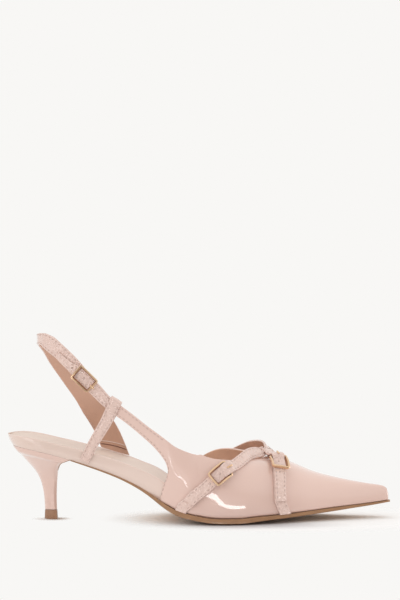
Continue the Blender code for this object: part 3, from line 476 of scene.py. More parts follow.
# Cards of light in front of the shoe, whose reflections are highlights of the patent: outlines in x and z
CARD_DEPTH = -1.65
STRIP_OUTLINE = [
    (0.065, 0.000), (0.150, 0.081), (0.190, 0.137), (0.205, 0.105), (0.228, 0.122), (0.250, 0.066),
    (0.295, -0.002), (0.375, -0.052), (0.533, -0.052), (0.749, -0.008), (1.100, 0.030), (1.100, -0.050),
    (0.798, -0.082), (0.513, -0.118), (0.328, -0.112), (0.250, -0.095), (0.205, -0.055), (0.165, -0.006),
    (0.108, -0.002),
]
GLINT_OUTLINE = [
    (-0.480, -0.036), (-0.464, -0.034), (-0.460, -0.012), (-0.438, 0.008), (-0.446, 0.016), (-0.476, -0.008),
]
FLOOR_PAPER = (0.880, 0.875, 0.870)
# Tone of the contact shadow painted on the floor along the sole's edge
FLOOR_PAINTED_SHADOW = (0.600, 0.585, 0.600)
# Centre, reach and share at which the fading starts: round the forepart and the heel, where the floor shows,
# and along the sole's edge, where a contact shadow is painted on the floor
FLOOR_SPOTS = [((0.160, 0.000), (0.130, 0.085), 0.55), ((0.001, -0.002), (0.015, 0.012), 0.40),
               ((0.125, -0.036), (0.085, 0.031), 0.20)]


def faded(tree, value, low, high, start, end):
    """A value that goes smoothly from start to end as another passes from low to high."""
    limits = {"From Min": low, "From Max": high, "To Min": start, "To Max": end}
    node = fed(tree, "MapRange", limits, Value=value)
    node.interpolation_type = "SMOOTHSTEP"
    return node.outputs["Result"]


def mixed(tree, target, share, first, second):
    """Feed a socket with a mix of two colours; the first may be a socket."""
    blend = tree.nodes.new("ShaderNodeMix")
    blend.data_type = "RGBA"
    if isinstance(first, tuple):
        blend.inputs["A"].default_value = (*first, 1)
    else:
        tree.links.new(first, blend.inputs["A"])
    blend.inputs["B"].default_value = (*second, 1)
    tree.links.new(share, blend.inputs["Factor"])
    tree.links.new(blend.outputs["Result"], target)


def axes(tree, kind):
    """Sockets X, Y and Z of one kind of coordinates."""
    return fed(tree, "SeparateXYZ", {}, Vector=fed(tree, "TexCoord", {}).outputs[kind]).outputs


def worked_out(tree, operation, a, b):
    """Result of an operation on two sockets."""
    node = tree.nodes.new("ShaderNodeMath")
    node.operation = operation
    tree.links.new(a, node.inputs[0])
    tree.links.new(b, node.inputs[1])
    return node.outputs["Value"]


def patent(name, color, ripple, scale, depth=0.6 * MM):
    """Clear-coated leather whose coat ripples with it."""
    finish, tree, shader = material(name, color, 0.32, coat=1.0)
    tinted(tree, shader, noise(tree, 18), color, scaled(color, 0.965))
    bumped(tree, shader, noise(tree, scale, 2), ripple, depth, coat=True)
    return finish


def plain(name, color, roughness, grain, drift=None, **shine):
    """A finish with a grain (scale, detail, strength) and a drift (scale, detail, darkest share)."""
    finish, tree, shader = material(name, color, roughness, **shine)
    scale, detail, strength = grain
    bumped(tree, shader, noise(tree, scale, detail), strength, 0.2 * MM)
    if drift:
        scale, detail, share = drift
        tinted(tree, shader, noise(tree, scale, detail), color, scaled(color, share))
    return finish


def make_materials():
    """The shoe's finishes by the words that the pieces use; the lining gets paler with height as painted
    light on the straps' upper parts, and the upper's lining is a paler copy of it, painted light in the
    throat.
    """
    finishes = {
        "patent": patent("nude_patent", NUDE, 0.02, 160),
        "strap": patent("strap_patent", STRAP_NUDE_AND_SHEEN, 1.0, 480, 1.3 * MM),
        "rim": patent("rim_patent", RIM_NUDE, 0.03, 200),
        "sock": plain("sock_leather", SOCK, 0.5, (900, 4, 0.2), (60, 3, 0.95)),
        "lining": plain("lining_suede", LINING, 0.75, (1500, 5, 0.4), (90, 5, 0.86)),
        "throat_lining_painted_light": plain("throat_lining_painted_light", THROAT_LINING_PAINTED_LIGHT, 0.7, (1500, 5, 0.4), (90, 5, 0.88)),
        "edge": plain("sole_edge", EDGE_TAN, 0.38, (1200, 3, 0.15), (220, 4, 0.85), coat=0.2),
        "sole": plain("sole_leather", SOLE_TAN, 0.5, (800, 4, 0.2), (50, 6, 0.9)),
        "top": plain("heel_top", TOP_BROWN, 0.45, (900, 3, 0.1)),
        "gold": plain("buckle_gold", GOLD, 0.16, (600, 2, 0.04), metallic=1.0),
        "gold_painted_shade": plain("buckle_inside_painted_shade", GOLD_PAINTED_SHADE, 0.25, (600, 2, 0.04), metallic=0.9),
        "thread": plain("thread", THREAD_PAINTED_SHADE, 0.6, (2500, 2, 0.3)),
        "hole": plain("hole_shade", HOLE_SHADE, 0.8, (2500, 2, 0.3)),
    }
    # The lining turns paler from 62 to 84 mm up: painted light on the straps' upper parts
    tree = finishes["lining"].node_tree
    color = tree.nodes["Principled BSDF"].inputs["Base Color"]
    height = faded(tree, axes(tree, "Object")["Z"], 62 * MM, 84 * MM, 0.0, 1.0)
    mixed(tree, color, height, color.links[0].from_socket, LINING_PAINTED_LIGHT)
    return finishes


FINISHES = make_materials()


def placed(name, data):
    """A new object in the scene."""
    item = bpy.data.objects.new(name, data)
    bpy.context.collection.objects.link(item)
    return item


def add(name, points, faces, finishes, nodes=(), levels=0, kinds=None, angle=50):
    """A piece of the shoe from points in the shoe's own frame, with its finishes by face."""
    points = np.asarray(points, float).reshape(-1, 3) - (ORIGIN, 0, 0)
    mesh = bpy.data.meshes.new(name)
    mesh.from_pydata(points.tolist(), [], [tuple(int(v) for v in face) for face in faces])
    for finish in finishes:
        mesh.materials.append(FINISHES[finish])
    if kinds is not None:
        mesh.polygons.foreach_set("material_index", np.asarray(kinds, dtype=np.int32))
    shape = bmesh.new()
    shape.from_mesh(mesh)
    bmesh.ops.recalc_face_normals(shape, faces=shape.faces)
    shape.to_mesh(mesh)
    shape.free()
    mesh.shade_smooth()
    if not levels:
        mesh.set_sharp_from_angle(angle=math.radians(angle))
    piece = placed(name, mesh)
    if levels:
        finer = piece.modifiers.new("finer", "SUBSURF")
        finer.levels = finer.render_levels = levels
    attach(piece, "root")
    if nodes:
        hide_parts(*nodes)


def tube_faces(rows, columns, ring=False, base=0):
    """Side faces of a tube of closed loops; in a ring the last loop meets the first."""
    faces = []
    for k in range(rows if ring else rows - 1):
        here, there = base + k * columns, base + (k + 1) % rows * columns
        for i in range(columns):
            j = (i + 1) % columns
            faces.append((here + i, here + j, there + j, there + i))
    return faces


def loft_faces(rows, columns):
    """Faces of a tube of closed loops, with caps that pair each end loop's points."""
    faces = tube_faces(rows, columns)
    end = (rows - 1) * columns
    for i in range(columns // 2 - 1):
        pair = (i, columns - 1 - i, columns - 2 - i, i + 1)
        faces.append(pair)
        faces.append(tuple(end + corner for corner in reversed(pair)))
    return faces


def strips(faces, columns, first, last):
    """Kind of each face: 1 on the tube's strips from the first to the last, 0 elsewhere."""
    return [int(face[0] // columns != face[2] // columns and first <= face[0] % columns <= last)
            for face in faces]


# Section of a strap: place across its half width and height in thicknesses
STRAP_SECTION = np.array([
    (0.62, 1.00), (0.40, 1.06), (0.00, 1.09), (-0.40, 1.06), (-0.62, 1.00), (-0.71, 0.93), (-0.80, 1.00),
    (-0.90, 1.02), (-0.97, 0.94), (-1.00, 0.72), (-1.00, 0.25), (-0.97, 0.00), (-0.50, 0.00), (0.00, 0.00),
    (0.50, 0.00), (0.97, 0.00), (1.00, 0.25), (1.00, 0.72), (0.97, 0.94), (0.90, 1.02), (0.80, 1.00),
    (0.71, 0.93),
])
LINED_STRIPS = (11, 14)       # strips of that section that show the lining


def add_strap(name, loops, node):
    """A strap from its loops, patent outside and lined inside."""
    faces = loft_faces(len(loops), len(STRAP_SECTION))
    kinds = strips(faces, len(STRAP_SECTION), *LINED_STRIPS)
    add(name, loops, faces, ["strap", "lining"], (node,), kinds=kinds)


def strap_loops(strap, pitch):
    """Loops of a padded flat strap with rounded edges."""
    distance = np.linspace(0, strap.length, max(8, int(strap.length / pitch)))
    return strap.at(distance[:, None], STRAP_SECTION[:, 0], STRAP_SECTION[:, 1] * STRAP_THICKNESS)


def over_sole(points):
    """Height of points over the top of the outsole."""
    return points[..., 2] - feather(points[..., 0] / LENGTH) - GAP


def cut_at_sole(loops):
    """Cut the ends of a strap that run below the top of the outsole level with it."""
    clear = np.nonzero((over_sole(loops) > 0.4 * GAP).all(axis=1))[0]
    first, last = clear[0], clear[-1]
    kept = list(loops[first:last + 1])
    for end, beyond in ((first, first - 1), (last, last + 1)):
        if 0 <= beyond < len(loops):
            near, far = over_sole(loops[end]), over_sole(loops[beyond])
            share = (near / (near - far))[:, None]
            cut = loops[end] + (loops[beyond] - loops[end]) * share
            kept = [cut] + kept if end == first else kept + [cut]
    return np.array(kept)


THREADS = {"vertices": [], "faces": []}     # all stitches, which become one piece at the end


def sew(points, normals, pitch=3.0 * MM, length=2.0 * MM, radius=0.25 * MM):
    """Add a row of short threads along a path to the shoe's stitches."""
    vertices, distance = THREADS["vertices"], travelled(points)
    rings, around = 5, 6

    def value(values, d):
        return np.array([np.interp(d, distance, values[:, i]) for i in range(3)])

    for start in np.arange(pitch * 0.5, distance[-1] - length, pitch):
        base = len(vertices)
        for t in np.linspace(0, 1, rings):
            d = start + t * length
            centre, normal = value(points, d), unit(value(normals, d))
            side = np.cross(normal, unit(value(points, d + 0.2 * MM) - centre))
            fat = radius * (0.35 + 0.65 * math.sin(math.pi * (0.08 + 0.84 * t)))
            rise = radius * (math.sin(math.pi * t) - 0.45)
            for angle in np.arange(around) * 2 * math.pi / around:
                out = normal * math.sin(angle) + side * math.cos(angle)
                vertices.append(centre + normal * rise + fat * out)
        faces = tube_faces(rings, around, base=base)
        faces.append(tuple(base + i for i in reversed(range(around))))
        faces.append(tuple(base + (rings - 1) * around + i for i in range(around)))
        THREADS["faces"] += faces


def sew_strap(strap, across, start=0.0, end=None):
    """A row of stitches in a strap's pressed seam."""
    stop = strap.length - SEAM_CLEAR if end is None else end
    distance = np.linspace(max(start, SEAM_CLEAR), stop, max(12, int((stop - start) / MM)))
    low = strap.at(distance, across, SEAM_HEIGHT)
    high = strap.at(distance, across, SEAM_HEIGHT + NEARBY)
    keep = over_sole(low) > SEAM_CLEAR
    sew(low[keep], unit(high - low)[keep])


# Section of a prong hole from its bottom to its rolled lip: radius in hole radii, height in mm
HOLE_SECTION = ((0.001, -0.02), (0.8, -0.02), (1.0, 0.03), (1.18, 0.05), (1.35, -0.03))


def punch(name, strap, distances, height):
    """Prong holes: small dark wells with a rolled lip."""
    around = 14
    vertices, faces = [], []
    for d in distances:
        faces += tube_faces(len(HOLE_SECTION), around, base=len(vertices))
        centre = strap.at(d, 0.0, height)
        normal = unit(strap.at(d, 0.0, height + NEARBY) - centre)
        run = unit(strap.at(d + NEARBY, 0.0, height) - centre)
        side = np.cross(normal, run)
        for size, rise in HOLE_SECTION:
            for angle in np.arange(around) * 2 * math.pi / around:
                out = run * math.cos(angle) + side * math.sin(angle)
                vertices.append(centre + HOLE_RADIUS * size * out + normal * rise * MM)
    add(name, vertices, faces, ["hole"])


def buckle(name, strap, middle, length, low_bar, high_bar, node):
    """Polished rectangular frame, its edges softened, bent to the strap."""
    half_x, half_y = length / 2 - BUCKLE_CORNER, BUCKLE_WIDTH / 2 - BUCKLE_CORNER
    corners = [(half_x, half_y), (-half_x, half_y), (-half_x, -half_y), (half_x, -half_y)]
    rail = []
    for k, (cx, cy) in enumerate(corners):
        for turn in range(0, 91, 15):
            angle = math.radians(90 * k + turn)
            rail.append((cx, cy, math.cos(angle), math.sin(angle)))
        next_x, next_y = corners[(k + 1) % 4]
        for t in (0.12, 0.5, 0.88):
            rail.append((cx + (next_x - cx) * t, cy + (next_y - cy) * t, *rail[-1][2:]))
    outer, crest, inner = (BUCKLE_CORNER - share * BUCKLE_WIRE for share in (0, 0.95, 1.4))
    section = np.array([
        (outer - BUCKLE_BEVEL, 0), (outer, BUCKLE_BEVEL), (outer, FRAME_DEPTH - BUCKLE_BEVEL),
        (outer - BUCKLE_BEVEL, FRAME_DEPTH), (crest + 0.4 * BUCKLE_BEVEL, FRAME_DEPTH),
        (crest, FRAME_DEPTH - 0.5 * BUCKLE_BEVEL), (inner, 0.45 * FRAME_DEPTH), (inner, 0)])
    loops = []
    for cx, cy, ux, uy in rail:
        x, y = cx + ux * section[:, 0], cy + uy * section[:, 0]
        lift = low_bar + (high_bar - low_bar) * (x / length + 0.5) + section[:, 1]
        loops.append(strap.at(middle + x, y / (STRAP_WIDTH / 2), lift, flat=True))
    faces = tube_faces(len(loops), len(section), ring=True)
    # The frame's inner faces take the dark gold, painted shade between frame and strap
    add(name, loops, faces, ["gold", "gold_painted_shade"], (node,),
        kinds=strips(faces, len(section), 5, 6), angle=35)


# Prong from end to end: share of its length and of its full thickness
PRONG = ((0, 0.35), (0.04, 0.8), (0.15, 1), (0.5, 1), (0.85, 0.85), (0.96, 0.6), (1, 0.25))


def prong(name, strap, middle, length, rest, node):
    """Short rounded pin over the hinge bar."""
    start = middle - length / 2 - BUCKLE_WIRE
    angles = np.linspace(0, 2 * math.pi, 12, endpoint=False)
    loops = []
    for t, size in PRONG:
        across = np.cos(angles) * 0.6 * MM * size / (STRAP_WIDTH / 2)
        lift = rest + 0.5 * MM + np.sin(angles) * 0.5 * MM * size
        loops.append(strap.at(start + t * PRONG_LENGTH, across, lift, flat=True))
    add(name, loops, loft_faces(len(loops), len(angles)), ["gold"], (node,))


def quarter_edges(place):
    """Height and wrap of the lower and the upper edge of the quarter at its cuts."""
    rows = [(a, h or (feather(a) + GAP) / ANKLE_HEIGHT, *up) for a, h, *up in QUARTER]
    low_along, low_height, up_along, up_height = smooth(numbered(rows), place)
    return (low_height, wrap_at(low_along, -1)), (up_height, wrap_at(up_along, -1))


def fold_rise(height, wrap):
    """Rise of the quarter's strap where it folds over its buckle's hinge bar."""
    low, up = quarter_edges(SLING_BUCKLE_CUT + np.array([-0.5, 0, 0.5]))
    behind, centre, ahead = ankle_point((low[0] + up[0]) / 2, (low[1] + up[1]) / 2)
    past = ((ankle_point(height, wrap) - centre) * unit(ahead - behind)).sum(-1)
    return hump(past, SLING_BUCKLE_LENGTH) * FOLD_RISE


# Steps from the lower to the upper edge of the upper's wall; the short last one keeps the rim's round edge
WALL_STEPS = np.concatenate([np.arange(16) / 16, [0.984, 1]])
TOE_FILLING = 0.86            # place from which the inside stops short of the toe


def wall(surface, a, b, inner_a, lift=0.0):
    """Outer and inner face of a part of the upper."""
    return np.stack([lifted(surface, a, b, lift), lifted(surface, inner_a, b, lift - WALL)])


def last_wall(along, side, top):
    """Both faces of the upper on one side of the last, from the sole to its top edge."""
    a = np.repeat(along[:, None], len(WALL_STEPS), 1)
    b = side * (1 + (top - 1)[:, None] * WALL_STEPS)
    ramp = np.clip((a - TOE_FILLING) / (1 - TOE_FILLING), 0, None)
    return wall(last_point, a, b, a - TOE_WALL / LENGTH * ramp * ramp)


def quarter_wall(places):
    """Both faces of the outer quarter and its strap."""
    low, up = quarter_edges(places)
    height, wrap = (a[:, None] + (b - a)[:, None] * WALL_STEPS for a, b in zip(low, up))
    return wall(ankle_point, height, wrap, height, fold_rise(height, wrap))


def make_upper():
    """Vamp, inner side and outer quarter with its strap, lined, open at the throat and back."""
    fronts = np.unique(np.round(np.concatenate([
        np.linspace(QUARTER_START, THROAT, 22), np.linspace(THROAT, 0.93, 34), np.linspace(0.93, 1.0, 18),
        [0.996, 0.9985]]), 5))[::-1]
    waist = np.linspace(QUARTER_START, TOPLINE[0][0], 10)[1:]
    places = np.concatenate([np.linspace(0, QUARTER_STRAP, 49),
                             np.linspace(QUARTER_STRAP, len(QUARTER) - 1, 121)[1:]])
    outer_top, inner_top = np.where(fronts < THROAT, smooth(TOPLINE, fronts), 0)
    inner_top = np.concatenate([inner_top, smooth(TOPLINE, waist)[1]])
    sheets = [np.concatenate([last_wall(fronts, -1, outer_top), quarter_wall(places)], axis=1),
              last_wall(np.concatenate([fronts, waist]), 1, inner_top)]
    closed = int((fronts >= THROAT - 1e-6).sum())
    count = len(WALL_STEPS)
    outer, inner, faces, index = [], [], [], {}

    def vertex(side, i, j):
        key = ("ridge", i) if i < closed and j == count - 1 else (side, i, j)
        if key not in index:
            index[key] = len(outer)
            outer.append(sheets[side][0, i, j])
            inner.append(sheets[side][1, i, j])
        return index[key]

    for side, sheet in enumerate(sheets):
        for i in range(sheet.shape[1] - 1):
            for j in range(count - 1):
                corners = ((i, j), (i, j + 1), (i + 1, j + 1), (i + 1, j))
                face = tuple(vertex(side, *corner) for corner in corners)
                faces.append(face[::-1] if side else face)
    tip = [vertex(0, 0, j) for j in range(count)] + [vertex(1, 0, j) for j in range(count - 2, -1, -1)]
    for i in range(count - 1):
        cap = (tip[i], tip[-1 - i], tip[-2 - i], tip[i + 1])
        faces.append(cap if i < count - 2 else cap[:3])
    total = len(outer)
    edges = {(a, b) for face in faces for a, b in zip(face, face[1:] + face[:1])}
    lining = [tuple(v + total for v in reversed(face)) for face in faces]
    rims = [(b, a, a + total, b + total) for a, b in edges if (b, a) not in edges]
    creased_from = (len(fronts) + int((places < CREASED_FROM).sum())) * (count - 1)
    creased_to = (sheets[0].shape[1] - 1) * (count - 1)
    kinds = [2 if creased_from <= k < creased_to else 0 for k in range(len(faces))]
    kinds += [1] * len(lining) + [0] * len(rims)
    # The upper's lining takes the paler copy of the lining, painted light in the throat
    add("upper_shell", outer + inner, faces + lining + rims, ["patent", "throat_lining_painted_light", "strap"],
        ("upper",), levels=1, kinds=kinds)


def sew_quarter():
    """Stitches along the quarter's lower edge, from its foot on, and along its strap's upper edge."""
    for on_upper, start in ((False, 4.15), (True, 9.5)):
        (low_h, low_w), (up_h, up_w) = quarter_edges(np.arange(start, len(QUARTER) - 3.0, 0.12))
        width = np.linalg.norm(ankle_point(up_h, up_w) - ankle_point(low_h, low_w), axis=-1)
        share = 1 - QUARTER_SEAM / width if on_upper else QUARTER_SEAM / width
        a, b = low_h + (up_h - low_h) * share, low_w + (up_w - low_w) * share
        path = lifted(ankle_point, a, b, fold_rise(a, b))
        sew(path, unit(lifted(ankle_point, a, b, fold_rise(a, b) + NEARBY) - path))


def make_sling():
    """Back strap with its wide inner panel."""
    rows = []
    for side, low_along, low_height, up_along, up_height, inset in SLING:
        if low_height == 0:
            low_height = (insole_top(low_along) + 1.2 * GAP) / ANKLE_HEIGHT
            up_height = (insole_top(up_along) + 1.2 * GAP) / ANKLE_HEIGHT
        rows.append((low_height, wrap_at(low_along, side), up_height, wrap_at(up_along, side), inset))
    low_h, low_w, up_h, up_w, inset = smooth(numbered(rows), np.linspace(0, len(rows) - 1, 260))
    lift = -GAP - WALL - STRAP_THICKNESS - inset * PANEL_INSET
    strap = Strap(ankle_point, (low_h, low_w), (up_h, up_w), lift)
    add_strap("sling", strap_loops(strap, 1.0 * MM), "sling_strap")
    for across in (-0.74, 0.74):
        sew_strap(strap, across, FOOT_SEAM, strap.length - 2 * MM)
    # Two raised lines across the foot, bowed upwards: painted shade of a fold in the dark hole finish and a
    # painted highlight beside it in the sock's finish
    across = np.linspace(-0.93, 0.93, 40)
    for finish, distance in (("hole", 3.2 * MM), ("sock", 5.8 * MM)):
        bow = distance + 1.0 * MM * (1 - across ** 2)
        line = strap.at(bow, across, -0.1 * MM)
        welt(finish + "_fold", line, unit(strap.at(bow, across, -NEARBY) - line), 0.28 * MM, finish)
    edge = np.linspace(4 * MM, FOOT_SEAM, 40)
    inside = strap.at(edge, -0.86)
    inward = unit(strap.at(edge, -0.86, -NEARBY) - inside)
    sew(inside, inward, pitch=2.6 * MM, length=1.6 * MM, radius=0.22 * MM)


def welt(name, points, normals, radius, finish):
    """A thin raised line along a path, pointed at both ends."""
    side = np.cross(normals, unit(np.gradient(points, axis=0)))
    turn = np.linspace(0, 2 * math.pi, 6, endpoint=False)[None, :, None]
    from_end = np.minimum(np.arange(len(points)), np.arange(len(points))[::-1])
    size = radius * np.minimum(1, 0.3 + from_end * 0.35)
    ring = np.cos(turn) * side[:, None, :] + np.sin(turn) * normals[:, None, :]
    grid = points[:, None, :] + ring * size[:, None, None]
    add(name, grid, loft_faces(len(grid), 6), [finish])


def make_keeper():
    """Loop from the sole edge over the quarter strap."""
    along, share, stand, width = smooth(numbered(KEEPER), np.linspace(0, len(KEEPER) - 1, 90))
    seat = feather(along) / ANKLE_HEIGHT
    height = seat + share * (1 - seat)
    lift = stand * (WALL + GAP) - np.where(stand > -1, 0, GAP)
    middle = lifted(ankle_point, height, wrap_at(along, -1), lift)
    for _ in range(3):
        middle[1:-1] = (middle[:-2] + 2 * middle[1:-1] + middle[2:]) / 4
    across = np.array([0.70, 0, -0.46])
    across = across / np.linalg.norm(across) * STRAP_WIDTH / 2 * width[:, None]
    out = unit(np.cross(across, np.gradient(middle, axis=0)))
    add_strap("keeper", middle[:, None, :] + across[:, None, :] * STRAP_SECTION[:, :1]
              + out[:, None, :] * (STRAP_SECTION[:, 1:] - 0.5) * STRAP_THICKNESS, "keeper_strap")
    shown = slice(2, len(middle) // 2)
    for side in (-SEAM_PLACE, SEAM_PLACE):
        sew(middle[shown] + across[shown] * side + out[shown] * 0.45 * STRAP_THICKNESS, out[shown])


def make_vamp_strap(name, rows, buckle_share, base_end, raised=0.0):
    """Long strap through its buckle to a free end, over a short base strap."""
    shares = np.linspace(0, 1, 400)
    a, b, free, tilt = (soften(v) for v in smooth(numbered(rows), shares * (len(rows) - 1)))
    distance = travelled(last_point(a, b))
    past = distance - np.interp(buckle_share, shares, distance)
    climb = np.clip(1 + (past + BUCKLE_LENGTH / 2) / CLIMB, 0, 1)
    lift = GAP + free * STRAP_THICKNESS + (STRAP_THICKNESS + GAP) * climb * climb * (3 - 2 * climb)
    lift = lift + (BUCKLE_DEPTH + 2 * GAP) * hump(past, BUCKLE_LENGTH)
    strap = centred_strap(last_point, a, b, STRAP_WIDTH, lift, tilt)
    middle = np.interp(buckle_share, shares, strap.distance)
    add_strap(name + "_long", cut_at_sole(strap_loops(strap, 0.7 * MM)), name)
    holes = [middle + 0.2 * MM, middle + BUCKLE_LENGTH / 2 + 2.4 * MM]
    punch(name + "_holes", strap, holes, HOLE_HEIGHT)

    start = float(np.interp(middle - BASE_REACH, strap.distance, shares))
    base_shares = np.linspace(start, 1, 160)
    onward = np.linspace(0, 1, 60)[1:]
    course = []
    for values, end in ((a, base_end[0]), (b, base_end[1])):
        onto_end = values[-1] + (end - values[-1]) * onward
        course.append(soften(np.concatenate([np.interp(base_shares, shares, values), onto_end])))
    base = centred_strap(last_point, *course, STRAP_WIDTH, GAP)
    add_strap(name + "_short", cut_at_sole(strap_loops(base, 0.9 * MM)), name + "_base")

    for across in (-SEAM_PLACE, SEAM_PLACE):
        sew_strap(strap, across, end=middle - BUCKLE_LENGTH / 2 - 2 * MM)
        sew_strap(strap, across, start=middle + BUCKLE_LENGTH / 2 + 0.5 * MM)
        sew_strap(base, across, base.length * 0.45, base.length)

    on_base = 2 * GAP + STRAP_THICKNESS + raised
    over_strap = on_base + STRAP_THICKNESS + GAP
    over_hinge = on_base + BUCKLE_DEPTH + STRAP_THICKNESS + 3 * GAP
    buckle(name + "_frame", strap, middle, BUCKLE_LENGTH, on_base, over_strap, name + "_buckle")
    prong(name + "_pin", strap, middle, BUCKLE_LENGTH, over_hinge, name + "_prong")


def soften(values, rounds=60):
    """Even out the small changes of bend of a strap's course."""
    values = np.array(values, float)
    for _ in range(rounds):
        values[1:-1] = (values[:-2] + 2 * values[1:-1] + values[2:]) / 4
    return values


def make_sling_buckle():
    """Frame, prong and holes on the quarter strap."""
    places = np.linspace(QUARTER_STRAP, len(QUARTER) - 1, 300)
    low, up = quarter_edges(places)
    course = centred_strap(ankle_point, (low[0] + up[0]) / 2, (low[1] + up[1]) / 2, STRAP_WIDTH)
    middle = float(np.interp(SLING_BUCKLE_CUT, places, course.distance))
    on_hinge = FOLD_RISE + BUCKLE_DEPTH + GAP
    buckle("sling_frame", course, middle, SLING_BUCKLE_LENGTH, FOLD_RISE, GAP, "sling_buckle")
    prong("sling_pin", course, middle, SLING_BUCKLE_LENGTH, on_hinge, "sling_buckle_prong")
    holes = [middle + 0.5 * MM, middle + SLING_BUCKLE_LENGTH / 2 + 3 * MM]
    punch("sling_holes", course, holes, 0.0)


def mirrored(name, sides, finishes, node, second_from, angle):
    """A piece from the loops of its outer side, mirrored to the inner; its middle has a second finish."""
    outer, inner = sides
    grid = np.stack(outer + inner[::-1], axis=1)
    columns = grid.shape[1]
    faces = loft_faces(len(grid), columns)
    kinds = strips(faces, columns, second_from, columns - 2 - second_from)
    add(name, grid, faces, finishes, (node,), kinds=kinds, angle=angle)


# Rolled rim of the insole and the sock inside it: inset and drop from its top, in mm
RIM = ((0.02, 1.5), (0.14, 0.9), (0.5, 0.3), (1.05, 0.02), (1.6, 0.05), (2.0, 0.35), (2.2, 0.62),
       (2.45, 0.52), (3.6, 0.5))
# Hollow of the sock towards the middle: share of the half width and drop in mm
HOLLOW = ((0.72, 0.75), (0.45, 1.1), (0.15, 1.25))


def make_insole():
    """Covered rim with a rolled upper edge round a thin sock."""
    seat = SEAT_ROUND * (1 - np.cos(np.linspace(0.035, math.pi / 2, 26)))
    alongs = np.unique(np.round(np.concatenate([seat, np.linspace(SEAT_ROUND, 0.945, 110)]), 6))
    half = insole_half(alongs) - np.where(alongs > 0.42, GAP, 0)
    low, top = feather(alongs) + 0.3 * GAP, insole_top(alongs)
    middle = look_up(MIDDLE, alongs)
    scale = np.minimum(1, half / (9 * MM))
    chain = [(half - 0.12 * MM, low), (half, low + 0.15 * MM), (half + 0.12 * MM, low + (top - low) * 0.45)]
    chain += [(half - inset * MM * scale, top - drop * MM) for inset, drop in RIM]
    chain += [(half * share - 0.3 * MM, top - drop * MM) for share, drop in HOLLOW]
    sides = [[xyz(leaned(alongs, (top - z) / (top - low)), middle + side * y, z) for y, z in chain]
             for side in (-1, 1)]
    mirrored("insole_cover", sides, ["rim", "sock"], "insole", 9, 70)


# Underside of the outsole from its edge inwards: share of the half width and height in edge roundings
SOLE_ROUND = ((1.0, 1.0), (0.97, 0.6), (0.88, 0.2), (0.72, 0.04), (0.55, 0.0), (0.2, 0.0))


def make_outsole():
    """Tan leather sole with a smooth waxed edge."""
    start = HEEL[-1][2] + 2 * GAP / LENGTH
    alongs = np.concatenate([np.linspace(start, 0.96, 150), np.linspace(0.96, 1, 22)[1:],
                             1 + np.array([0.4, 0.8, 1.0]) * WELT / LENGTH])
    inside = np.minimum(alongs, 1)
    blend = np.clip((inside - 0.37) / 0.04, 0, 1)
    half = insole_half(inside) + 0.5 * MM + blend * (GAP + WALL + WELT - 0.5 * MM)
    end = np.clip((alongs - 1) * LENGTH / WELT, 0, 1)
    half = half * np.sqrt(1 - 0.9 * end ** 2)
    low, top = look_up(UNDERSIDE, inside), feather(inside) + 0.8 * GAP
    low = low + 0.35 * (top - low) * np.clip((0.42 - inside) / 0.12, 0, 1)
    edge = 0.28 * (top - low)
    middle = look_up(MIDDLE, inside)
    chain = [(half - 0.7 * MM, top), (half - 0.15 * MM, top - 0.05 * MM), (half, top - 0.3 * MM)]
    chain += [(half * share, low + edge * lift) for share, lift in SOLE_ROUND]
    sides = [[xyz(alongs * LENGTH, middle + side * y, z) for y, z in chain] for side in (-1, 1)]
    mirrored("outsole_leather", sides, ["edge", "sole"], "outsole", 4, 35)


def corner_share(tilt):
    """How fully the heel's front corners are rounded: not where it takes the seat's outline."""
    return np.clip((0.98 - tilt) / 0.2, 0, 1)


def make_breast_edge():
    """Tan edge of the sole where it runs down into the heel's breast."""
    rows = np.array(HEEL)[-6:]
    rows[:, 0] *= SEAT_HEIGHT
    rows[-1, 0] = feather(0.0)
    levels = np.linspace(rows[0, 0], rows[-1, 0], 30)
    _, front, half, tilt = smooth(rows, levels)
    z = levels - tilt * (feather(0.0) - feather(front))
    width = half * BALL_WIDTH / 2 * (1 - corner_share(tilt) * 0.15)
    thick = np.linspace(0.15, 0.9, len(levels)) * MM
    x = front * LENGTH + 0.05 * MM
    grid = np.stack([xyz(x, -width, z), xyz(x + thick, -width, z - 0.3 * thick),
                     xyz(x + thick, width, z - 0.3 * thick), xyz(x, width, z)], axis=1)
    add("breast_edge", grid, loft_faces(len(grid), 4), ["edge"], angle=35)


def heel_outline(level, back, front, half, tilt, steps):
    """Half outline of the heel at a level, as x, half width and z at steps from back to front."""
    along = back + (front - back) * steps
    width = half * BALL_WIDTH / 2 * round_end(1 - steps)
    seat = np.clip((tilt - 0.9) / 0.1, 0, 1)
    width = width * (1 - seat) + (insole_half(along) - 0.1 * MM) * seat
    z = level - tilt * (feather(0.0) - feather(along))
    return leaned(along, seat), width, z


# Levels of the heel's top piece: height in mm, share of the flare, inset of the edge in mm
HEEL_TOP = ((0, 1, 0.3), (0.25, 1, 0.05), (0.6, 0.95, 0), (3, 0.5, 0), (5.6, 0.05, 0), (6.1, 0, 0.25))


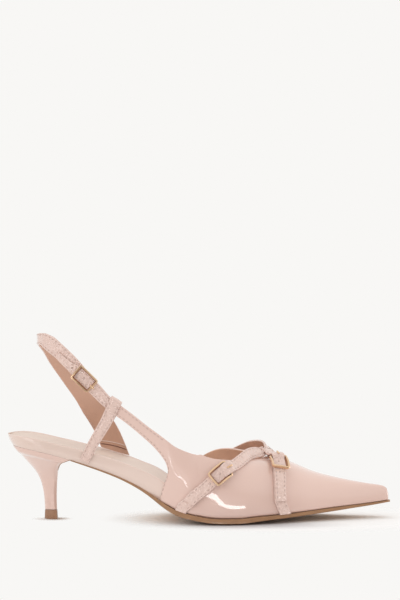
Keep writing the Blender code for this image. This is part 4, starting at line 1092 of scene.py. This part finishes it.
def make_heel():
    """Covered kitten heel and its hard top piece."""
    rows = np.array(HEEL)
    rows[:, 0] *= SEAT_HEIGHT
    rows[0, 0] = HEEL_TOP_THICKNESS + GAP
    rows[-1, 0] = feather(0.0)
    levels = np.concatenate([np.linspace(rows[0, 0], rows[2, 0], 8),
                             np.linspace(rows[2, 0], rows[-1, 0], 44)[1:]])
    steps = np.concatenate([1 - 0.3 * np.linspace(0, 1, 16) ** 2, np.linspace(0.7, 0.3, 9)[1:],
                            0.3 * (np.linspace(1, 0.05, 14)[1:]) ** 2])
    loops = []
    for level, back, front, half, tilt in zip(levels, *smooth(rows, levels)):
        x, y, z = heel_outline(level, back, front, half, tilt, steps)
        soft = np.minimum(HEEL_ROUND, 0.35 * y.max())
        y = y - soft * np.clip(1 - (x.max() - x) / soft, 0, 1) * corner_share(tilt)
        loops.append(np.concatenate([xyz(x, -y, z), xyz(x, y, z)[::-1]]))
    faces = loft_faces(len(loops), 2 * len(steps))
    add("heel_cover", loops, faces, ["patent"], ("heel",), angle=45)

    _, back, front, half, _ = HEEL[0]
    loops = []
    for z, flare, inset in HEEL_TOP:
        reach = HEEL_TOP_FLARE * flare
        x, y, _ = heel_outline(0, back - reach / LENGTH / 2, front + reach / LENGTH,
                               half + reach / BALL_WIDTH * 2, 0, steps)
        centre, shrink = (x.max() + x.min()) / 2, 1 - inset * MM / y.max()
        x, y = centre + (x - centre) * shrink, y * shrink
        loops.append(np.concatenate([xyz(x, -y, z * MM), xyz(x, y, z * MM)[::-1]]))
    faces = loft_faces(len(loops), 2 * len(steps))
    add("heel_lift", loops, faces, ["top"], ("heel_top_piece",), angle=35)


def surroundings(scene):
    """Pale studio, dimmer low down behind the camera."""
    world = bpy.data.worlds.new("studio")
    scene.world = world
    world.use_nodes = True
    tree = world.node_tree
    back = tree.nodes["Background"]
    back.inputs["Strength"].default_value = 1.0
    _, y, z = axes(tree, "Generated")
    front = faded(tree, y, -0.75, -0.10, 1.0, 0.0)
    band = worked_out(tree, "MULTIPLY", faded(tree, z, 0.16, 0.50, 1.0, 0.0),
                      faded(tree, z, -0.34, -0.12, 0.0, 1.0))
    mixed(tree, back.inputs["Color"], worked_out(tree, "MULTIPLY", front, band), STUDIO_PALE, STUDIO_DIM)


def paper_floor():
    """Pale floor that shows only close round the two places where the shoe stands, with a contact shadow
    painted along the sole's edge.
    """
    mesh = bpy.data.meshes.new("floor")
    mesh.from_pydata([(-3, -3, 0), (3, -3, 0), (3, 3, 0), (-3, 3, 0)], [], [(0, 1, 2, 3)])
    floor = placed("floor", mesh)
    floor.location.z = -0.1 * MM
    finish, tree, shader = material("floor_paper", FLOOR_PAPER, 0.9)
    put(shader, {"Specular IOR Level": 0.1})
    place = fed(tree, "TexCoord", {}).outputs["Object"]
    shown = []
    for centre, reach, rim in FLOOR_SPOTS:
        shape = {"Scale": (1 / reach[0], 1 / reach[1], 1),
                 "Location": (-centre[0] / reach[0], -centre[1] / reach[1], 0)}
        away = fed(tree, "Mapping", shape, Vector=place)
        length = tree.nodes.new("ShaderNodeVectorMath")
        length.operation = "LENGTH"
        tree.links.new(away.outputs["Vector"], length.inputs[0])
        shown.append(faded(tree, length.outputs["Value"], rim, 1.0, 1.0, 0.0))
    forepart, heel, painted_shadow = shown
    tree.links.new(worked_out(tree, "MAXIMUM", forepart, heel), shader.inputs["Alpha"])
    # Painted contact shadow: the floor darkens towards the sole's edge
    mixed(tree, shader.inputs["Base Color"], painted_shadow, FLOOR_PAPER, FLOOR_PAINTED_SHADOW)
    mesh.materials.append(finish)


def softbox(name, place, aim, width, height, radiance):
    """Rectangular soft light turned to a point."""
    light = bpy.data.lights.new(name, "AREA")
    light.shape = "RECTANGLE"
    light.size, light.size_y = width, height
    light.energy = radiance * math.pi * width * height
    lamp = placed(name, light)
    lamp.location = place
    lamp.rotation_euler = (Vector(aim) - Vector(place)).to_track_quat("-Z", "Y").to_euler()
    return lamp


def shaped_light(name, outline, radiance):
    """Upright card of light in front of the shoe, cut to an outline given as x and z."""
    mesh = bpy.data.meshes.new(name)
    mesh.from_pydata([(x, CARD_DEPTH, z) for x, z in outline], [], [tuple(range(len(outline)))])
    card = placed(name, mesh)
    finish, _, shader = material("light_card", (0, 0, 0), 1.0)
    put(shader, {"Specular IOR Level": 0.0, "Emission Color": (1.0, 0.985, 0.99, 1),
                 "Emission Strength": radiance})
    mesh.materials.append(finish)
    card.visible_camera = False
    card.visible_shadow = False


def toward(azimuth, elevation, distance):
    """A place round the shoe: azimuth 0 lies behind the camera and grows to the toe's side."""
    a, e = math.radians(azimuth), math.radians(elevation)
    x, y, z = MIDDLE_OF_SHOE
    return (x + distance * math.cos(e) * math.sin(a), y - distance * math.cos(e) * math.cos(a),
            z + distance * math.sin(e))


def make_stage():
    """Pale surroundings and floor, four soft lights and two cards that the patent mirrors."""
    scene = bpy.context.scene
    scene.view_settings.view_transform = "Standard"
    surroundings(scene)
    paper_floor()
    overhead = softbox("overhead", toward(180, 66, 1.8), MIDDLE_OF_SHOE, 1.5, 0.8, 1.6)
    overhead.visible_glossy = False
    softbox("heel_fill", toward(-48, 14, 2.0), MIDDLE_OF_SHOE, 1.1, 0.9, 2.2)
    softbox("toe_fill", toward(98, 8, 1.6), (0, 0, 0.03), 0.35, 0.8, 5)
    softbox("quarter_fill", toward(-25, -4, 2.0), MIDDLE_OF_SHOE, 0.8, 0.9, 0.7)
    shaped_light("strip", STRIP_OUTLINE, 12)
    shaped_light("glint", GLINT_OUTLINE, 12)


# The photo's frame in pixels; the shoe's heel starts at HEEL_PIXEL on the floor line
FRAME_WIDTH, FRAME_HEIGHT = 400, 600
PIXEL = 0.675 * MM
HEEL_PIXEL, FLOOR_PIXEL = 8.3, 518.5
SENSOR = 36
CAMERA_DISTANCE = 2.2
CAMERA_SLOPE = 0.12           # rise of the camera over the floor per distance


def make_camera():
    """The photo's view: level framing from slightly above the floor."""
    data = bpy.data.cameras.new("photo_view")
    data.sensor_fit = "HORIZONTAL"
    data.sensor_width = SENSOR
    camera = placed("photo_view", data)
    x = (FRAME_WIDTH / 2 - HEEL_PIXEL) * PIXEL - ORIGIN
    camera.location = (x, -CAMERA_DISTANCE, CAMERA_SLOPE * CAMERA_DISTANCE)
    view = Vector((x, 0, (FLOOR_PIXEL - FRAME_HEIGHT / 2) * PIXEL)) - camera.location
    camera.rotation_euler = view.to_track_quat("-Z", "Y").to_euler()
    floor_depth = (Vector((x, 0, 0)) - camera.location).dot(view.normalized())
    data.lens = SENSOR * floor_depth / (FRAME_WIDTH * PIXEL)
    bpy.context.scene.camera = camera


make_camera()
make_stage()
make_outsole()
make_insole()
make_heel()
make_breast_edge()
make_upper()
sew_quarter()
make_sling()
make_keeper()
make_sling_buckle()
make_vamp_strap("vamp_strap_back", BACK_STRAP, BACK_STRAP_BUCKLE, BACK_STRAP_BASE)
make_vamp_strap("vamp_strap_front", FRONT_STRAP, FRONT_STRAP_BUCKLE, FRONT_STRAP_BASE, 0.9 * MM)
add("stitches", THREADS["vertices"], THREADS["faces"], ["thread"])
